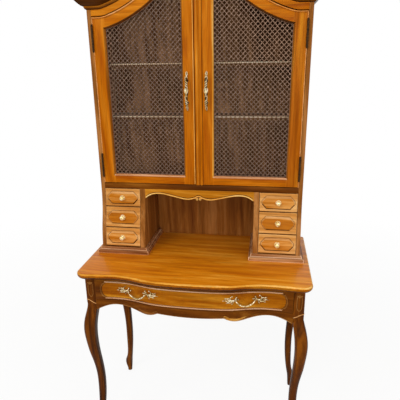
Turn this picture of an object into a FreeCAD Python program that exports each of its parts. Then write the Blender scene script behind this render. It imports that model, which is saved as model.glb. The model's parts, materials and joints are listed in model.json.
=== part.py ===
import FreeCAD, Part
import math
import os
from FreeCAD import Placement, Rotation
from FreeCAD import Vector as V

# Bonheur du jour: a small writing desk on cabriole legs with an arched cabinet over drawer banks.
# Frame: +Z up, +X to the right hand of someone facing it, -Y to the front, floor at Z = 0.

doc = FreeCAD.newDocument("BonheurDuJour")

# ---------------------------------------------------------------- driving sizes, in millimetres

SIZES = (
    # writing surface
    ("DeskHeight", 762, "floor to writing surface"),
    ("TopThickness", 22, "desk top"),
    ("TopWidth", 846, "desk top, side to side"),
    ("TopDepth", 484, "desk top, front crest to back edge"),
    ("TopCorner", 38, "plan radius of the front corners"),
    ("TopNosing", 7, "round on the upper edge"),
    ("TopUnderRound", 13, "round on the lower edge"),
    ("BowDepth", 32, "front crest to the deepest hollow"),
    ("BowReach", 270, "centre to the deepest hollow"),
    ("BowShoulder", 150, "centre to the shoulder of the bow"),
    ("BowShoulderDrop", 9, "set-back at the shoulder"),
    ("BowFlank", 24.5, "set-back half way between the shoulder and the hollow"),
    ("BowHollowEnd", 335, "centre to where the hollow turns out towards the corner"),
    ("EarDrop", 22, "set-back at the outer ends"),
    # underframe
    ("FrontOverhang", 33, "top edge to the faces below it"),
    ("SideOverhang", 23, "top edge to the outside of the posts"),
    ("RearOverhang", 17, "top edge to the back of the posts"),
    ("PostWidth", 37, "square leg post"),
    ("PostLength", 115, "square part of a leg below the top"),
    ("PostRound", 2.5, "worn arris where the post turns into the knee"),
    ("KneeFlat", 5, "flat cheeks of a knee below the aprons that meet it"),
    ("RailThickness", 18, "aprons and drawer front at the hollow"),
    ("RailInset", 2, "side and back aprons behind the post faces"),
    ("ApronDepth", 41, "front apron at the deepest point near the posts"),
    ("ApronLobe", 39, "front apron at the carved lobe"),
    ("ApronArch", 18, "front apron at its two shallow arches"),
    ("ApronNotch", 27, "front apron at the notch beside the centre"),
    ("ApronCentre", 32, "front apron at the centre"),
    ("SideApronDepth", 140, "side aprons at the posts, from the top down"),
    ("SideApronArch", 115, "side aprons at mid length, from the top down"),
    ("BackApronDepth", 125, "back apron"),
    ("RunnerWidth", 20, "drawer runner"),
    ("RunnerHeight", 14, "drawer runner"),
    # long drawer
    ("LongFrontHeight", 93, "long drawer front"),
    ("LongBoxHeight", 72, "long drawer sides"),
    ("LongBoxDepth", 290, "long drawer sides, front to back"),
    ("LongBoard", 12, "long drawer sides and back"),
    ("LongBottom", 6, "long drawer bottom"),
    ("FrameDown", 20, "bead frame below the top of the long drawer front"),
    ("FrameUp", 7, "bead frame above its bottom"),
    ("FrameEnd", 21, "tips of the bead frame from the ends of the front"),
    ("FrameSwell", 8, "how far the ends of the frame bow out"),
    ("FrameEar", 8, "hollow corners of the frame, radius"),
    ("FrameBead", 6, "bead width"),
    ("FrameCrest", 3.4, "width of the bead's crest"),
    ("FrameOut", 2.4, "bead projection"),
    ("PullSpread", 197, "centre of a pull from the middle of the drawer"),
    ("PullCentres", 76, "between the two feet of a pull"),
    ("PullStandOff", 21, "pull, drawer face to the bar's axis"),
    ("PullDip", 22, "pull, feet down to the lowest point of the bar"),
    ("PullBar", 3.4, "radius of the pull's bar"),
    ("PullRise", 4, "feet of the pulls above the middle of the drawer front"),
    ("PullLeaf", 37, "longest leaf beyond each foot"),
    ("PullLeafWidth", 11, "cast leaf"),
    ("PullLeafOut", 6, "cast leaf, projection"),
    ("LeafBed", 2, "how far a leaf is set back before its seat is trimmed to the drawer front"),
    ("PullSeat", 0.3, "seat of the pulls in front of the curved drawer front"),
    ("SwellShare", 1.6, "boss over a foot of a pull or handle, times the bar's radius"),
    # cabinet
    ("HutchInset", 35, "cabinet sides in from the ends of the top"),
    ("HutchDepth", 205, "door face to back"),
    ("HutchSetback", 13, "cabinet back in front of the top's back edge"),
    ("SideBoard", 15, "cabinet sides"),
    ("BackBoard", 8, "back panel"),
    ("TierHeight", 258, "desk top to the underside of the cabinet floor"),
    ("TierSweep", 36, "how far the lower tier sweeps forward"),
    ("TierFoot", 8, "upright foot of the sweep above the desk top"),
    ("NicheWidth", 422, "clear width between the partitions"),
    ("Partition", 20, "partition thickness"),
    ("FloorBoard", 21, "cabinet floor"),
    ("PlinthHeight", 26, "moulding round a drawer bank"),
    ("PlinthStep", 15, "lower flat of the moulding"),
    ("PlinthOut", 15, "moulding projection"),
    ("PlinthCapOut", 7, "upper member projection"),
    ("ValanceBoard", 12, "niche valance thickness"),
    ("ValanceSetback", 1, "valance behind the face of the sides"),
    ("ValanceEnd", 39, "valance depth at its ends"),
    ("ValanceArch", 18, "valance depth at its two arches"),
    ("ValanceDip", 38, "valance depth beside the centre"),
    ("ValanceCentre", 26, "valance depth at the centre notch"),
    ("ShelfBoard", 16, "cabinet shelves"),
    ("ShelfSetback", 60, "door face to shelf edge"),
    ("UpperShelf", 1484, "top of the upper shelf above the floor"),
    ("LowerShelf", 1292, "top of the lower shelf above the floor"),
    ("PinRadius", 3, "shelf pins"),
    ("PinLength", 14, "shelf pins, part that shows"),
    ("PinInset", 22, "shelf pins from a shelf's front and back edges"),
    # arched line of doors, header and crown
    ("ShoulderHeight", 1600, "door opening at the flat shoulder"),
    ("ShoulderX", 350, "centre to where the shoulder starts to rise"),
    ("BlendRadius", 145, "first rise off the shoulder"),
    ("BlendAngle", 17, "slope where the hollow begins, degrees"),
    ("HollowRadius", 480, "hollow of the arch"),
    ("CrownHalf", 150, "half width of the convex crown"),
    ("HeaderGap", 16, "door top to the underside of the cornice"),
    ("CorniceHeight", 60, "cornice"),
    ("CorniceOut", 43, "cornice projection"),
    ("BonnetBoard", 8, "bent top board"),
    ("BonnetSink", 16, "bent top board below the cornice top"),
    ("BonnetJoint", 137, "joints of the three bent top boards, from the middle"),
    # doors
    ("DoorBoard", 20, "door and header thickness"),
    ("FrontGap", 2, "gap round doors and long drawer front"),
    ("HingeGap", 2.5, "gap between a door and the cabinet side"),
    ("MeetingShift", 8, "meeting line of the doors, left of the middle"),
    ("OuterStile", 44.5, "hinge stile"),
    ("LeftMeetingStile", 44, "meeting stile of the left door"),
    ("RightMeetingStile", 66, "meeting stile of the right door, with the astragal"),
    ("TopRail", 42, "arched rail"),
    ("BottomRail", 34, "lower rail"),
    ("RebateWidth", 8, "rebate behind the opening"),
    ("RebateLip", 11, "thickness of the lip in front of the grille"),
    ("OpeningBevel", 5, "bevel round the door opening"),
    ("AstragalWidth", 26, "strip over the meeting line"),
    ("AstragalOut", 6, "strip projection"),
    ("AstragalBead", 10, "round bead along its outer edge"),
    # grilles
    ("WireAcross", 16.2, "mesh width"),
    ("WireUp", 17.1, "mesh height"),
    ("WireWidth", 2.4, "flat wire"),
    ("WireThickness", 1.2, "flat wire"),
    ("GrilleBorder", 9, "border strip of a grille"),
    ("GrilleFit", 0.3, "grille border inside the rebate"),
    # door furniture
    ("HingeHeight", 85, "butt hinge"),
    ("HingeLeaf", 1, "leaf thickness"),
    ("HingeLeafDepth", 17, "leaf, front to back"),
    ("BarrelRadius", 3.8, "hinge barrel"),
    ("BarrelOut", 4.4, "barrel axis in front of the door face"),
    ("HingePin", 1.9, "hinge pin radius"),
    ("PinPlay", 0.06, "pin to knuckle"),
    ("KnuckleGap", 0.3, "between knuckles"),
    ("UpperHinge", 1571, "middle of the upper hinges"),
    ("LowerHinge", 1112, "middle of the lower hinges"),
    ("FinialRadius", 3.4, "ball at each end of a barrel"),
    ("HandleHeight", 1386, "middle of the door handles"),
    ("HandleX", 35, "door handles from the middle"),
    ("HandleLength", 138, "door handle, tip to tip"),
    ("HandleCentres", 76, "between the two feet of a handle"),
    ("HandleStandOff", 17, "handle, door face to the grip's axis"),
    ("HandleGrip", 4.2, "radius of the grip"),
    ("CatchWidth", 24, "ball catch case"),
    ("CatchDepth", 14, "ball catch case"),
    ("CatchHeight", 10, "ball catch case"),
    ("CatchPlay", 0.5, "catch behind the door"),
    # small drawers
    ("UpperRow", 70, "front height"),
    ("MiddleRow", 78, "front height"),
    ("LowerRow", 73, "front height"),
    ("RowGap", 3, "between fronts"),
    ("RowSideGap", 1.5, "beside a front"),
    ("RowTopGap", 2, "above the upper fronts"),
    ("RowFront", 16, "front thickness at its thinnest"),
    ("RowDivider", 6, "dust board"),
    ("DividerGap", 0.5, "fronts to dust boards"),
    ("TrayPlay", 1.5, "tray beside and above"),
    ("TrayWall", 7, "tray walls"),
    ("TrayFloor", 4, "tray floor"),
    ("TrayDepth", 132, "tray, front to back"),
    ("RunPlay", 0.2, "trays and long drawer over what they run on"),
    ("FieldWidth", 122, "raised field"),
    ("FieldHeight", 50, "raised field"),
    ("FieldPoint", 17, "slanting end of the field"),
    ("FieldNose", 12, "blunt tip of the field"),
    ("FieldOut", 4, "field projection"),
    ("FieldBevel", 3.5, "bevel round a field"),
    ("KnobRadius", 8.5, "knob"),
    ("KnobOut", 17, "knob projection"),
    ("KnobNeck", 3.6, "knob neck radius"),
    ("KnobButton", 2, "flat button at the end of a knob, radius"),
    ("KnobRose", 1.5, "thickness of the round plate behind a knob"),
    ("KnobSpare", 3, "spare length behind the plate, trimmed to the slope of the front"),
    ("KnobSeat", 0.3, "seat of a knob in front of the curved field"),
)

# cabriole leg: distance above the floor or below the post, outward throw, width, corner round
STATIONS = (
    ("Brow", "below post", 35, 4, 41, 7),
    ("Knee", "below post", 81, 13, 46, 13),
    ("Calf", "below post", 161, 15, 42, 14),
    ("Shin", "below post", 240, 8, 36, 14),
    ("Shank", "above floor", 283, -1, 30, 12),
    ("Ankle", "above floor", 150, 3, 26, 11),
    ("Heel", "above floor", 92, 11, 26, 11),
    ("Toe", "above floor", 56, 20, 32, 13),
    ("Instep", "above floor", 30, 20, 28, 12),
    ("Sole", "above floor", 13, 18, 22, 10),
    ("Pad", "above floor", 0, 18, 20, 9),
)

sheet = doc.addObject("Spreadsheet::Sheet", "Sizes")
places = doc.addObject("Spreadsheet::Sheet", "Places")


def fill(table, rows):
    """Write alias, value and note rows into a sheet."""
    for number, (alias, value, note) in enumerate(rows, 1):
        table.set(f"A{number}", alias)
        table.set(f"B{number}", str(value))
        table.set(f"C{number}", note)
        table.setAlias(f"B{number}", alias)


stationRows = []
for name, origin, height, out, width, corner in STATIONS:
    stationRows.append((name + "Height", height, origin))
    stationRows.append((name + "Out", out, "outward throw of the section"))
    stationRows.append((name + "Width", width, "section width"))
    stationRows.append((name + "Round", corner, "section corner"))
fill(sheet, SIZES + tuple(stationRows))
doc.recompute()


def size(alias):
    """A driving size as a number."""
    return float(sheet.get(alias))


# ---------------------------------------------------------------- places that follow from the sizes

S = "Sizes."
PLACES = (
    ("TopFront", f"=-{S}TopDepth / 2", "crest of the top's front edge"),
    ("TopBack", f"={S}TopDepth / 2", "back edge of the top"),
    ("TopUnder", f"={S}DeskHeight - {S}TopThickness", "underside of the top"),
    ("FrontFace", "=TopFront + " + f"{S}BowDepth + {S}FrontOverhang", "front of the posts"),
    ("RailBack", f"=FrontFace + {S}RailThickness", "back of the drawer front and front apron"),
    ("RearFace", f"=TopBack - {S}RearOverhang", "back of the rear posts"),
    ("PostOuter", f"={S}TopWidth / 2 - {S}SideOverhang", "outside of the posts"),
    ("PostInner", f"=PostOuter - {S}PostWidth", "inside of the posts"),
    ("PostBottom", f"=TopUnder - {S}PostLength", "where the post ends and the knee begins"),
    ("LongTop", f"=TopUnder - {S}FrontGap", "top of the long drawer front"),
    ("LongUnder", f"=LongTop - {S}LongFrontHeight", "bottom of the long drawer front"),
    ("ApronTop", f"=LongUnder - {S}FrontGap", "top of the front apron"),
    ("HutchBack", f"=TopBack - {S}HutchSetback", "back of the cabinet"),
    ("HutchFront", f"=HutchBack - {S}HutchDepth", "face of doors, header and sides"),
    ("PanelFace", f"=HutchBack - {S}BackBoard", "front of the back panel"),
    ("SideOuter", f"={S}TopWidth / 2 - {S}HutchInset", "outside of the cabinet"),
    ("SideInner", f"=SideOuter - {S}SideBoard", "inside of the cabinet sides"),
    ("NicheEdge", f"={S}NicheWidth / 2", "niche face of a partition"),
    ("BankInner", f"=NicheEdge + {S}Partition", "drawer face of a partition"),
    ("TierTop", f"={S}DeskHeight + {S}TierHeight", "underside of the cabinet floor"),
    ("CabinetFloor", f"=TierTop + {S}FloorBoard", "top of the cabinet floor"),
    ("DoorBottom", f"=CabinetFloor + {S}FrontGap", "bottom of the doors"),
    ("OpeningBottom", f"=DoorBottom + {S}BottomRail", "bottom of the door openings"),
    ("DoorEdge", f"=SideInner - {S}HingeGap", "hinge edge of a door"),
    ("OpeningOuter", f"=DoorEdge - {S}OuterStile", "outer side of a door opening"),
    ("DoorBack", f"=HutchFront + {S}DoorBoard", "back of the doors"),
    ("CorniceRise", f"={S}TopRail + {S}HeaderGap", "cornice underside above the opening line"),
    ("CrownRise", f"=CorniceRise + {S}CorniceHeight", "cornice top above the opening line"),
    ("BonnetRise", f"=CrownRise - {S}BonnetSink", "bent board's top above the opening line"),
    ("BonnetUnder", f"=BonnetRise - {S}BonnetBoard", "its underside above the opening line"),
    ("BankFloor", f"={S}DeskHeight + {S}PlinthHeight", "top of a bank's floor board"),
)
fill(places, PLACES)
doc.recompute()


def place(alias):
    """A derived place as a number."""
    return float(places.get(alias))


P = "Places."
LEFT_RIGHT = (("left", -1), ("right", 1))
nodes = []


def keep(item, name):
    """Give a finished sub-part its name and put it on the list that is written out."""
    item.Label = name
    nodes.append(item)
    return item


# ---------------------------------------------------------------- ways of making a piece

def board(name, corner, dims):
    """A straight board: the formulas of its lowest corner and of its length, width and height."""
    item = doc.addObject("Part::Box", name)
    for prop, formula in zip(("Length", "Width", "Height"), dims):
        item.setExpression(prop, formula)
    for axis, formula in zip("xyz", corner):
        item.setExpression(f"Placement.Base.{axis}", formula)
    return item


def sided(sign, near, width):
    """Lowest X of a board whose face nearer the middle is at `near`, on the left or the right."""
    return near if sign > 0 else f"-({near}) - ({width})"


def combine(kind, name, *pieces):
    """A boolean of two pieces, or of several for a fuse or a group."""
    item = doc.addObject(kind, name)
    if kind in ("Part::MultiFuse", "Part::MultiCommon"):
        item.Shapes = list(pieces)
    elif kind == "Part::Compound":
        item.Links = list(pieces)
    else:
        item.Base, item.Tool = pieces
    return item


def padded(name, plane, outline, length, offset="0", symmetric=False):
    """A body with one sketch on an origin plane, padded along +X, +Y or +Z from `offset`."""
    body = doc.addObject("PartDesign::Body", name)
    sketch = body.newObject("Sketcher::SketchObject", name + "_outline")
    for feature in body.Origin.OriginFeatures:
        if feature.Role == plane:
            sketch.AttachmentSupport = [(feature, "")]
    sketch.MapMode = "FlatFace"
    sketch.addGeometry(outline, False)
    pad = body.newObject("PartDesign::Pad", name + "_pad")
    pad.Profile = sketch
    pad.setExpression("Length", length)
    pad.Midplane = symmetric
    pad.Reversed = plane == "XZ_Plane"
    axis = {"YZ_Plane": "x", "XZ_Plane": "y", "XY_Plane": "z"}[plane]
    body.setExpression(f"Placement.Base.{axis}", offset)
    doc.recompute()
    return body


def rounded(body, kind, prop, formula, chosen):
    """Fillet or chamfer the edges of a body's last feature that `chosen` picks by place."""
    base = body.Tip
    names = [f"Edge{i}" for i, edge in enumerate(base.Shape.Edges, 1) if chosen(edge)]
    feature = body.newObject(kind, body.Name + "_" + prop.lower())
    feature.Base = (base, names)
    feature.setExpression(prop, formula)
    doc.recompute()
    return feature


def shaped(name, shape):
    """A sub-part whose form is made by Part's own functions."""
    item = doc.addObject("Part::Feature", name)
    item.Shape = shape
    return item


def line(*points):
    """Straight segments through flat points."""
    spots = [V(x, y, 0) for x, y in points]
    return [Part.LineSegment(a, b) for a, b in zip(spots, spots[1:])]


def through(points):
    """A smooth curve through flat points."""
    curve = Part.BSplineCurve()
    curve.interpolate([V(x, y, 0) for x, y in points])
    return curve


def solidOf(face, direction):
    """The solid that a face sweeps along a vector."""
    return face.extrude(direction)


# ---------------------------------------------------------------- the desk top's serpentine line

def bowLine(shift):
    """Front line of the desk top in plan, moved back by `shift`."""
    front = place("TopFront") + shift
    half = size("TopWidth") / 2
    reach = size("BowReach")
    shoulder = size("BowShoulder")
    drop = size("BowDepth")
    right = [
        (shoulder * 2 / 3, size("BowShoulderDrop") / 3),
        (shoulder, size("BowShoulderDrop")),
        ((shoulder + reach) / 2, size("BowFlank")),
        (reach, drop),
        (size("BowHollowEnd"), (drop + drop + size("EarDrop")) / 3 + 1),
        (half, size("EarDrop")),
    ]
    left = [(-x, y) for x, y in reversed(right)]
    return through([(x, front + y) for x, y in left + [(0, 0)] + right])


def bowAt(x, shift):
    """Y of the serpentine line at a given X."""
    curve = bowLine(shift)
    low, high = curve.FirstParameter, curve.LastParameter
    for _ in range(50):
        middle = (low + high) / 2
        if curve.value(middle).x < x:
            low = middle
        else:
            high = middle
    return curve.value(low).y


def bowOutline(shift, back):
    """Closed plan outline: serpentine front, straight sides and back."""
    curve = bowLine(shift)
    start = curve.value(curve.FirstParameter)
    end = curve.value(curve.LastParameter)
    return [curve] + line((end.x, end.y), (end.x, back), (start.x, back), (start.x, start.y))


# ---------------------------------------------------------------- the arched line of the cabinet

class Arch:
    """Centres, radii and angles of the arched line, `rise` above the door opening's top."""

    def __init__(self, rise):
        slope = math.radians(size("BlendAngle"))
        blend = size("BlendRadius")
        hollow = size("HollowRadius")
        self.flatEnd = size("ShoulderX")
        self.flatZ = size("ShoulderHeight") + rise
        self.slope = slope
        self.blendCentre = V(self.flatEnd, size("ShoulderHeight") + blend, 0)
        join = self.blendCentre - V(math.sin(slope), math.cos(slope), 0) * blend
        self.hollowCentre = join + V(math.sin(slope), math.cos(slope), 0) * hollow
        self.turn = math.asin((self.hollowCentre.x - size("CrownHalf")) / hollow)
        crown = size("CrownHalf") / math.sin(self.turn)
        normal = V(math.sin(self.turn), math.cos(self.turn), 0)
        self.crownCentre = self.hollowCentre - normal * (hollow + crown)
        self.blendRadius = blend - rise
        self.hollowRadius = hollow - rise
        self.crownRadius = crown + rise
        self.top = self.crownCentre.y + self.crownRadius

    def arcs(self):
        """The arcs from the left shoulder over the crown to the right shoulder."""
        def spot(centre, radius, angle, up):
            return centre + V(math.sin(angle), math.cos(angle), 0) * (radius if up else -radius)

        def arc(centre, radius, first, last, up):
            middle = (first + last) / 2
            return [spot(centre, radius, t, up) for t in (first, middle, last)]

        right = [
            arc(self.hollowCentre, self.hollowRadius, self.turn, self.slope, False),
            arc(self.blendCentre, self.blendRadius, self.slope, 0, False),
        ]
        left = [[V(-p.x, p.y, 0) for p in reversed(points)] for points in reversed(right)]
        crown = arc(self.crownCentre, self.crownRadius, -self.turn, self.turn, True)
        return [Part.Arc(*points) for points in left + [crown] + right]

    def path(self, half):
        """The whole line between -half and half."""
        start = line((-half, self.flatZ), (-self.flatEnd, self.flatZ))
        end = line((self.flatEnd, self.flatZ), (half, self.flatZ))
        return start + self.arcs() + end

    def outline(self, half, bottom):
        """Closed outline under the line, down to `bottom`."""
        down = line((half, self.flatZ), (half, bottom), (-half, bottom), (-half, self.flatZ))
        return self.path(half) + down


def underArch(name, rise, front, depth):
    """Everything under the arched line between two planes, as wide as the cabinet."""
    bottom = place("DoorBottom")
    return padded(name, "XZ_Plane", Arch(rise).outline(place("SideOuter"), bottom), depth, front)


# ---------------------------------------------------------------- desk

def deskTop():
    """Serpentine top with a moulded front and side edge."""
    body = padded("desk_top", "XY_Plane", bowOutline(0, place("TopBack")), f"{S}TopThickness",
                  f"{P}TopUnder")
    half = size("TopWidth") / 2
    thickness = size("TopThickness")

    def frontCorner(edge):
        spot = edge.CenterOfMass
        return abs(edge.Length - thickness) < 0.01 and abs(spot.x) > half - 1 and spot.y < 0

    rounded(body, "PartDesign::Fillet", "Radius", f"{S}TopCorner", frontCorner)

    def rim(z):
        def chosen(edge):
            box = edge.BoundBox
            flat = abs(box.ZMin - z) < 0.01 and abs(box.ZMax - z) < 0.01
            return flat and not (box.YMin > place("TopBack") - 0.01)
        return chosen

    rounded(body, "PartDesign::Fillet", "Radius", f"{S}TopNosing", rim(thickness))
    last = body.Tip
    lower = [f"Edge{i}" for i, edge in enumerate(last.Shape.Edges, 1) if rim(0)(edge)]
    under = body.newObject("PartDesign::Fillet", "desk_top_under")
    under.Base = (last, lower)
    under.setExpression("Radius", f"{S}TopUnderRound")
    keep(body, "desk_top")


def roundedSquare(centre, width, corner, z):
    """A square section with round corners, as a wire that starts at the same corner each time."""
    half = width / 2
    flat = half - corner
    edges = []
    turns = ((1, 1), (-1, 1), (-1, -1), (1, -1))
    for index, (sx, sy) in enumerate(turns):
        nx, ny = turns[(index + 1) % 4]
        middle = corner * math.sqrt(0.5)
        if sx == sy:
            first, last = V(sx * half, sy * flat, 0), V(sx * flat, sy * half, 0)
        else:
            first, last = V(sx * flat, sy * half, 0), V(sx * half, sy * flat, 0)
        bend = V(sx * (flat + middle), sy * (flat + middle), 0)
        edges.append(Part.Arc(first, bend, last).toShape())
        onward = V(nx * flat, ny * half, 0) if nx != ny else V(nx * half, ny * flat, 0)
        edges.append(Part.makeLine(last, onward))
    wire = Part.Wire(edges)
    wire.translate(V(centre.x, centre.y, z))
    return wire


def leg(name, sx, sy):
    """A cabriole leg: square post, knee thrown outward, slim ankle and a turned-out toe."""
    post = size("PostWidth")
    middleX = place("PostOuter") - post / 2
    middleY = place("FrontFace") + post / 2 if sy < 0 else place("RearFace") - post / 2
    seat = V(sx * middleX, middleY, 0)
    sections = [roundedSquare(seat, post, size("PostRound"), place("PostBottom"))]
    for station, origin, *_ in STATIONS:
        height = size(station + "Height")
        z = place("PostBottom") - height if origin == "below post" else height
        out = size(station + "Out")
        centre = V(sx * (middleX + out), middleY + sy * out, 0)
        sections.append(roundedSquare(centre, size(station + "Width"), size(station + "Round"), z))
    curved = Part.makeLoft(sections, True, False)
    flatEnd = place("TopUnder") - size("SideApronDepth") - size("KneeFlat")
    tall = place("PostBottom") - flatEnd
    innerX = sx * (middleX - post)
    innerY = middleY - sy * post
    for x, y in ((innerX, seat.y), (seat.x, innerY)):
        curved = curved.cut(Part.makeBox(post, post, tall, V(x - post / 2, y - post / 2, flatEnd)))
    corner = V(sx * middleX - post / 2, middleY - post / 2, place("PostBottom"))
    square = Part.makeBox(post, post, size("PostLength"), corner)
    keep(shaped(name, square.fuse(curved)), name)


def apronLine():
    """Lower edge of the front apron in elevation, left post to right post."""
    top = place("ApronTop")
    inner = place("PostInner")
    wing = [
        (inner, top - size("ApronDepth") - 3),
        (inner - 21, top - size("ApronDepth") + 8),
        (inner - 63, top - size("ApronArch") - 1),
        (inner - 100, top - size("ApronArch")),
        (200, top - size("ApronArch") - 14),
        (163, top - size("ApronLobe")),
        (139, top - size("ApronLobe") + 4),
        (122, top - size("ApronNotch")),
    ]
    notch = top - size("ApronNotch")
    middle = [(122, notch), (75, top - size("ApronCentre") + 2), (0, top - size("ApronCentre"))]
    mirrored = [(-x, z) for x, z in middle[:2]]
    centre = middle[:2] + [middle[2]] + list(reversed(mirrored))
    return [through(wing), through(centre), through([(-x, z) for x, z in reversed(wing)])]


def aprons():
    """Front apron with a scrolled lower edge, arched side aprons and a plain back apron."""
    top = place("ApronTop")
    inner = place("PostInner")
    left = apronLine()[2]
    end = left.value(left.LastParameter)
    outline = apronLine() + line((end.x, end.y), (-inner, top), (inner, top), (inner, end.y))
    depth = f"{S}TopDepth"
    elevation = padded("apron_elevation", "XZ_Plane", outline, depth, f"{P}TopFront")
    low = place("ApronTop") - 2 * size("ApronDepth")
    blank = padded("apron_plan", "XY_Plane", bowOutline(size("FrontOverhang"), place("RailBack")),
                   f"{P}TopUnder - {low}", str(low))
    keep(combine("Part::Common", "apron_front", elevation, blank), "apron_front")

    front = place("FrontFace") + size("PostWidth")
    back = place("RearFace") - size("PostWidth")
    under = place("TopUnder")
    middle = (front + back) / 2
    edge = through([
        (front, under - size("SideApronDepth")),
        (front + 22, under - size("SideApronDepth") + 9),
        (front + 65, under - size("SideApronArch") - 1),
        (middle, under - size("SideApronArch")),
        (back - 65, under - size("SideApronArch") - 1),
        (back - 22, under - size("SideApronDepth") + 9),
        (back, under - size("SideApronDepth")),
    ])
    outline = [edge] + line((back, under - size("SideApronDepth")), (back, under), (front, under),
                            (front, under - size("SideApronDepth")))
    for side, sign in LEFT_RIGHT:
        near = f"{P}PostOuter - {S}RailInset - {S}RailThickness"
        body = padded("apron_" + side, "YZ_Plane", outline, f"{S}RailThickness",
                      sided(sign, near, f"{S}RailThickness"))
        keep(body, "apron_" + side)
    keep(board("apron_back",
               (f"-{P}PostInner", f"{P}RearFace - {S}RailInset - {S}RailThickness",
                f"{P}TopUnder - {S}BackApronDepth"),
               (f"2 * {P}PostInner", f"{S}RailThickness", f"{S}BackApronDepth")), "apron_back")


def runners():
    """Two strips between the front and back aprons that carry the long drawer."""
    length = f"{P}RearFace - {S}RailInset - {S}RailThickness - {P}RailBack"
    top = f"{P}LongUnder + {S}LongBottom"
    strips = []
    for side, sign in LEFT_RIGHT:
        near = f"{P}PostInner - {S}RunnerWidth"
        strips.append(board("runner_" + side,
                            (sided(sign, near, f"{S}RunnerWidth"), f"{P}RailBack",
                             f"{top} - {S}RunnerHeight"),
                            (f"{S}RunnerWidth", length, f"{S}RunnerHeight")))
    keep(combine("Part::Compound", "drawer_runners", *strips), "drawer_runners")


def bowSolid(shift):
    """What lies behind the serpentine line moved back by `shift`, as far as the rail's back."""
    plan = Part.Wire([curve.toShape() for curve in bowOutline(shift, place("RailBack"))])
    return solidOf(Part.Face(plan), V(0, 0, size("DeskHeight")))


def frameSolid(grow):
    """The bead frame's outline, with hollow corners, widened by `grow` and drawn back."""
    top = place("LongTop") - size("FrameDown")
    foot = place("LongUnder") + size("FrameUp")
    tip = place("PostInner") - size("FrontGap") - size("FrameEnd")
    corner, ear = tip - size("FrameSwell"), size("FrameEar")
    dip = ear * math.sqrt(0.5)

    def arc(*points):
        return Part.Arc(*[V(x, 0, z) for x, z in points]).toShape()

    right = [
        arc((corner - ear, top), (corner - dip, top - dip), (corner, top - ear)),
        arc((corner, top - ear), (tip, (top + foot) / 2), (corner, foot + ear)),
        arc((corner, foot + ear), (corner - dip, foot + dip), (corner - ear, foot)),
    ]
    left = [edge.mirror(V(0, 0, 0), V(1, 0, 0)) for edge in right]
    flats = [Part.makeLine(V(ear - corner, 0, z), V(corner - ear, 0, z)) for z in (top, foot)]
    face = Part.Face(Part.Wire(Part.__sortEdges__(right + left + flats))).makeOffset2D(grow)
    face.translate(V(0, place("TopFront"), 0))
    return solidOf(face, V(0, place("RailBack") - place("TopFront"), 0))


def longDrawer():
    """Long drawer: serpentine front with a bead frame, and a box of two sides, back and bottom."""
    half, tall = place("PostInner") - size("FrontGap"), size("LongFrontHeight")
    block = Part.makeBox(2 * half, size("TopDepth"), tall,
                         V(-half, place("TopFront"), place("LongUnder")))
    front = bowSolid(size("FrontOverhang")).common(block)
    out = size("FrameOut")
    for width, proud in ((size("FrameBead"), out / 2), (size("FrameCrest"), out)):
        band = frameSolid(width / 2).cut(frameSolid(-width / 2))
        front = front.fuse(bowSolid(size("FrontOverhang") - proud).common(band))
    keep(shaped("long_drawer_front", front.removeSplitter()), "long_drawer_front")

    floor = f"{P}LongUnder + {S}LongBottom + {S}RunPlay"
    half = f"({P}PostInner - 3 * {S}FrontGap)"
    pieces = []
    for side, sign in LEFT_RIGHT:
        near = f"{half} - {S}LongBoard"
        pieces.append(board("long_side_" + side,
                            (sided(sign, near, f"{S}LongBoard"), f"{P}RailBack", floor),
                            (f"{S}LongBoard", f"{S}LongBoxDepth", f"{S}LongBoxHeight")))
    pieces.append(board("long_back",
                        (f"-{half} + {S}LongBoard",
                         f"{P}RailBack + {S}LongBoxDepth - {S}LongBoard", floor),
                        (f"2 * ({half} - {S}LongBoard)", f"{S}LongBoard", f"{S}LongBoxHeight")))
    pieces.append(board("long_bottom", (f"-{half} + {S}LongBoard", f"{P}RailBack", floor),
                        (f"2 * ({half} - {S}LongBoard)", f"{S}LongBoxDepth - {S}LongBoard",
                         f"{S}LongBottom")))
    keep(combine("Part::Compound", "long_drawer_box", *pieces), "long_drawer_box")


def leaf(centre, length, width, thickness, turn):
    """A flat cast leaf: half an egg lying on the face, pointed along X and turned about Y."""
    ball = Part.makeSphere(1)
    scale = FreeCAD.Matrix()
    scale.scale(V(length / 2, thickness, width / 2))
    egg = ball.transformGeometry(scale)
    block = Part.makeBox(2 * length, thickness, 2 * length, V(-length, -thickness, -length))
    half = egg.common(block)
    half.rotate(V(0, 0, 0), V(0, 1, 0), turn)
    half.translate(centre)
    return half


LEAVES = ((-14, 1.0), (24, 0.62), (-58, 0.5))  # turn in degrees and share of the full length


def pullShape(seatAt):
    """One cast pull about its middle: a dipping bar between two feet, with a leaf cluster over
    each foot; `seatAt` gives how far the drawer's face lies behind the line of the feet."""
    bar, out, drop = size("PullBar"), size("PullStandOff"), size("PullDip")
    reach = size("PullCentres") / 2
    pieces = []
    for end in (-1, 1):
        seat = seatAt(end * reach) + bar
        pieces.append(Part.makeCylinder(bar * 1.5, out + seat, V(end * reach, seat, 0),
                                        V(0, -1, 0)))
        pieces.append(Part.makeSphere(bar * size("SwellShare"), V(end * reach, -out, 0)))
        for turn, share in LEAVES:
            spread = size("PullLeaf") * share
            heading = math.radians(turn)
            middle = V(end * (reach + math.cos(heading) * spread / 2), 0,
                       math.sin(heading) * spread / 2)
            middle.y = seatAt(middle.x) + size("LeafBed")
            pieces.append(leaf(middle, spread, size("PullLeafWidth"), size("PullLeafOut"),
                               -end * turn))
    dip = [V(-reach, -out, 0), V(0, -out, -drop), V(reach, -out, 0)]
    spine = Part.Wire([Part.Arc(*dip).toShape()])
    tangent = spine.Edges[0].tangentAt(spine.Edges[0].FirstParameter)
    ring = Part.Wire([Part.makeCircle(bar, dip[0], tangent)])
    pieces.append(spine.makePipeShell([ring], True, True))
    return pieces[0].multiFuse(pieces[1:])


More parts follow.
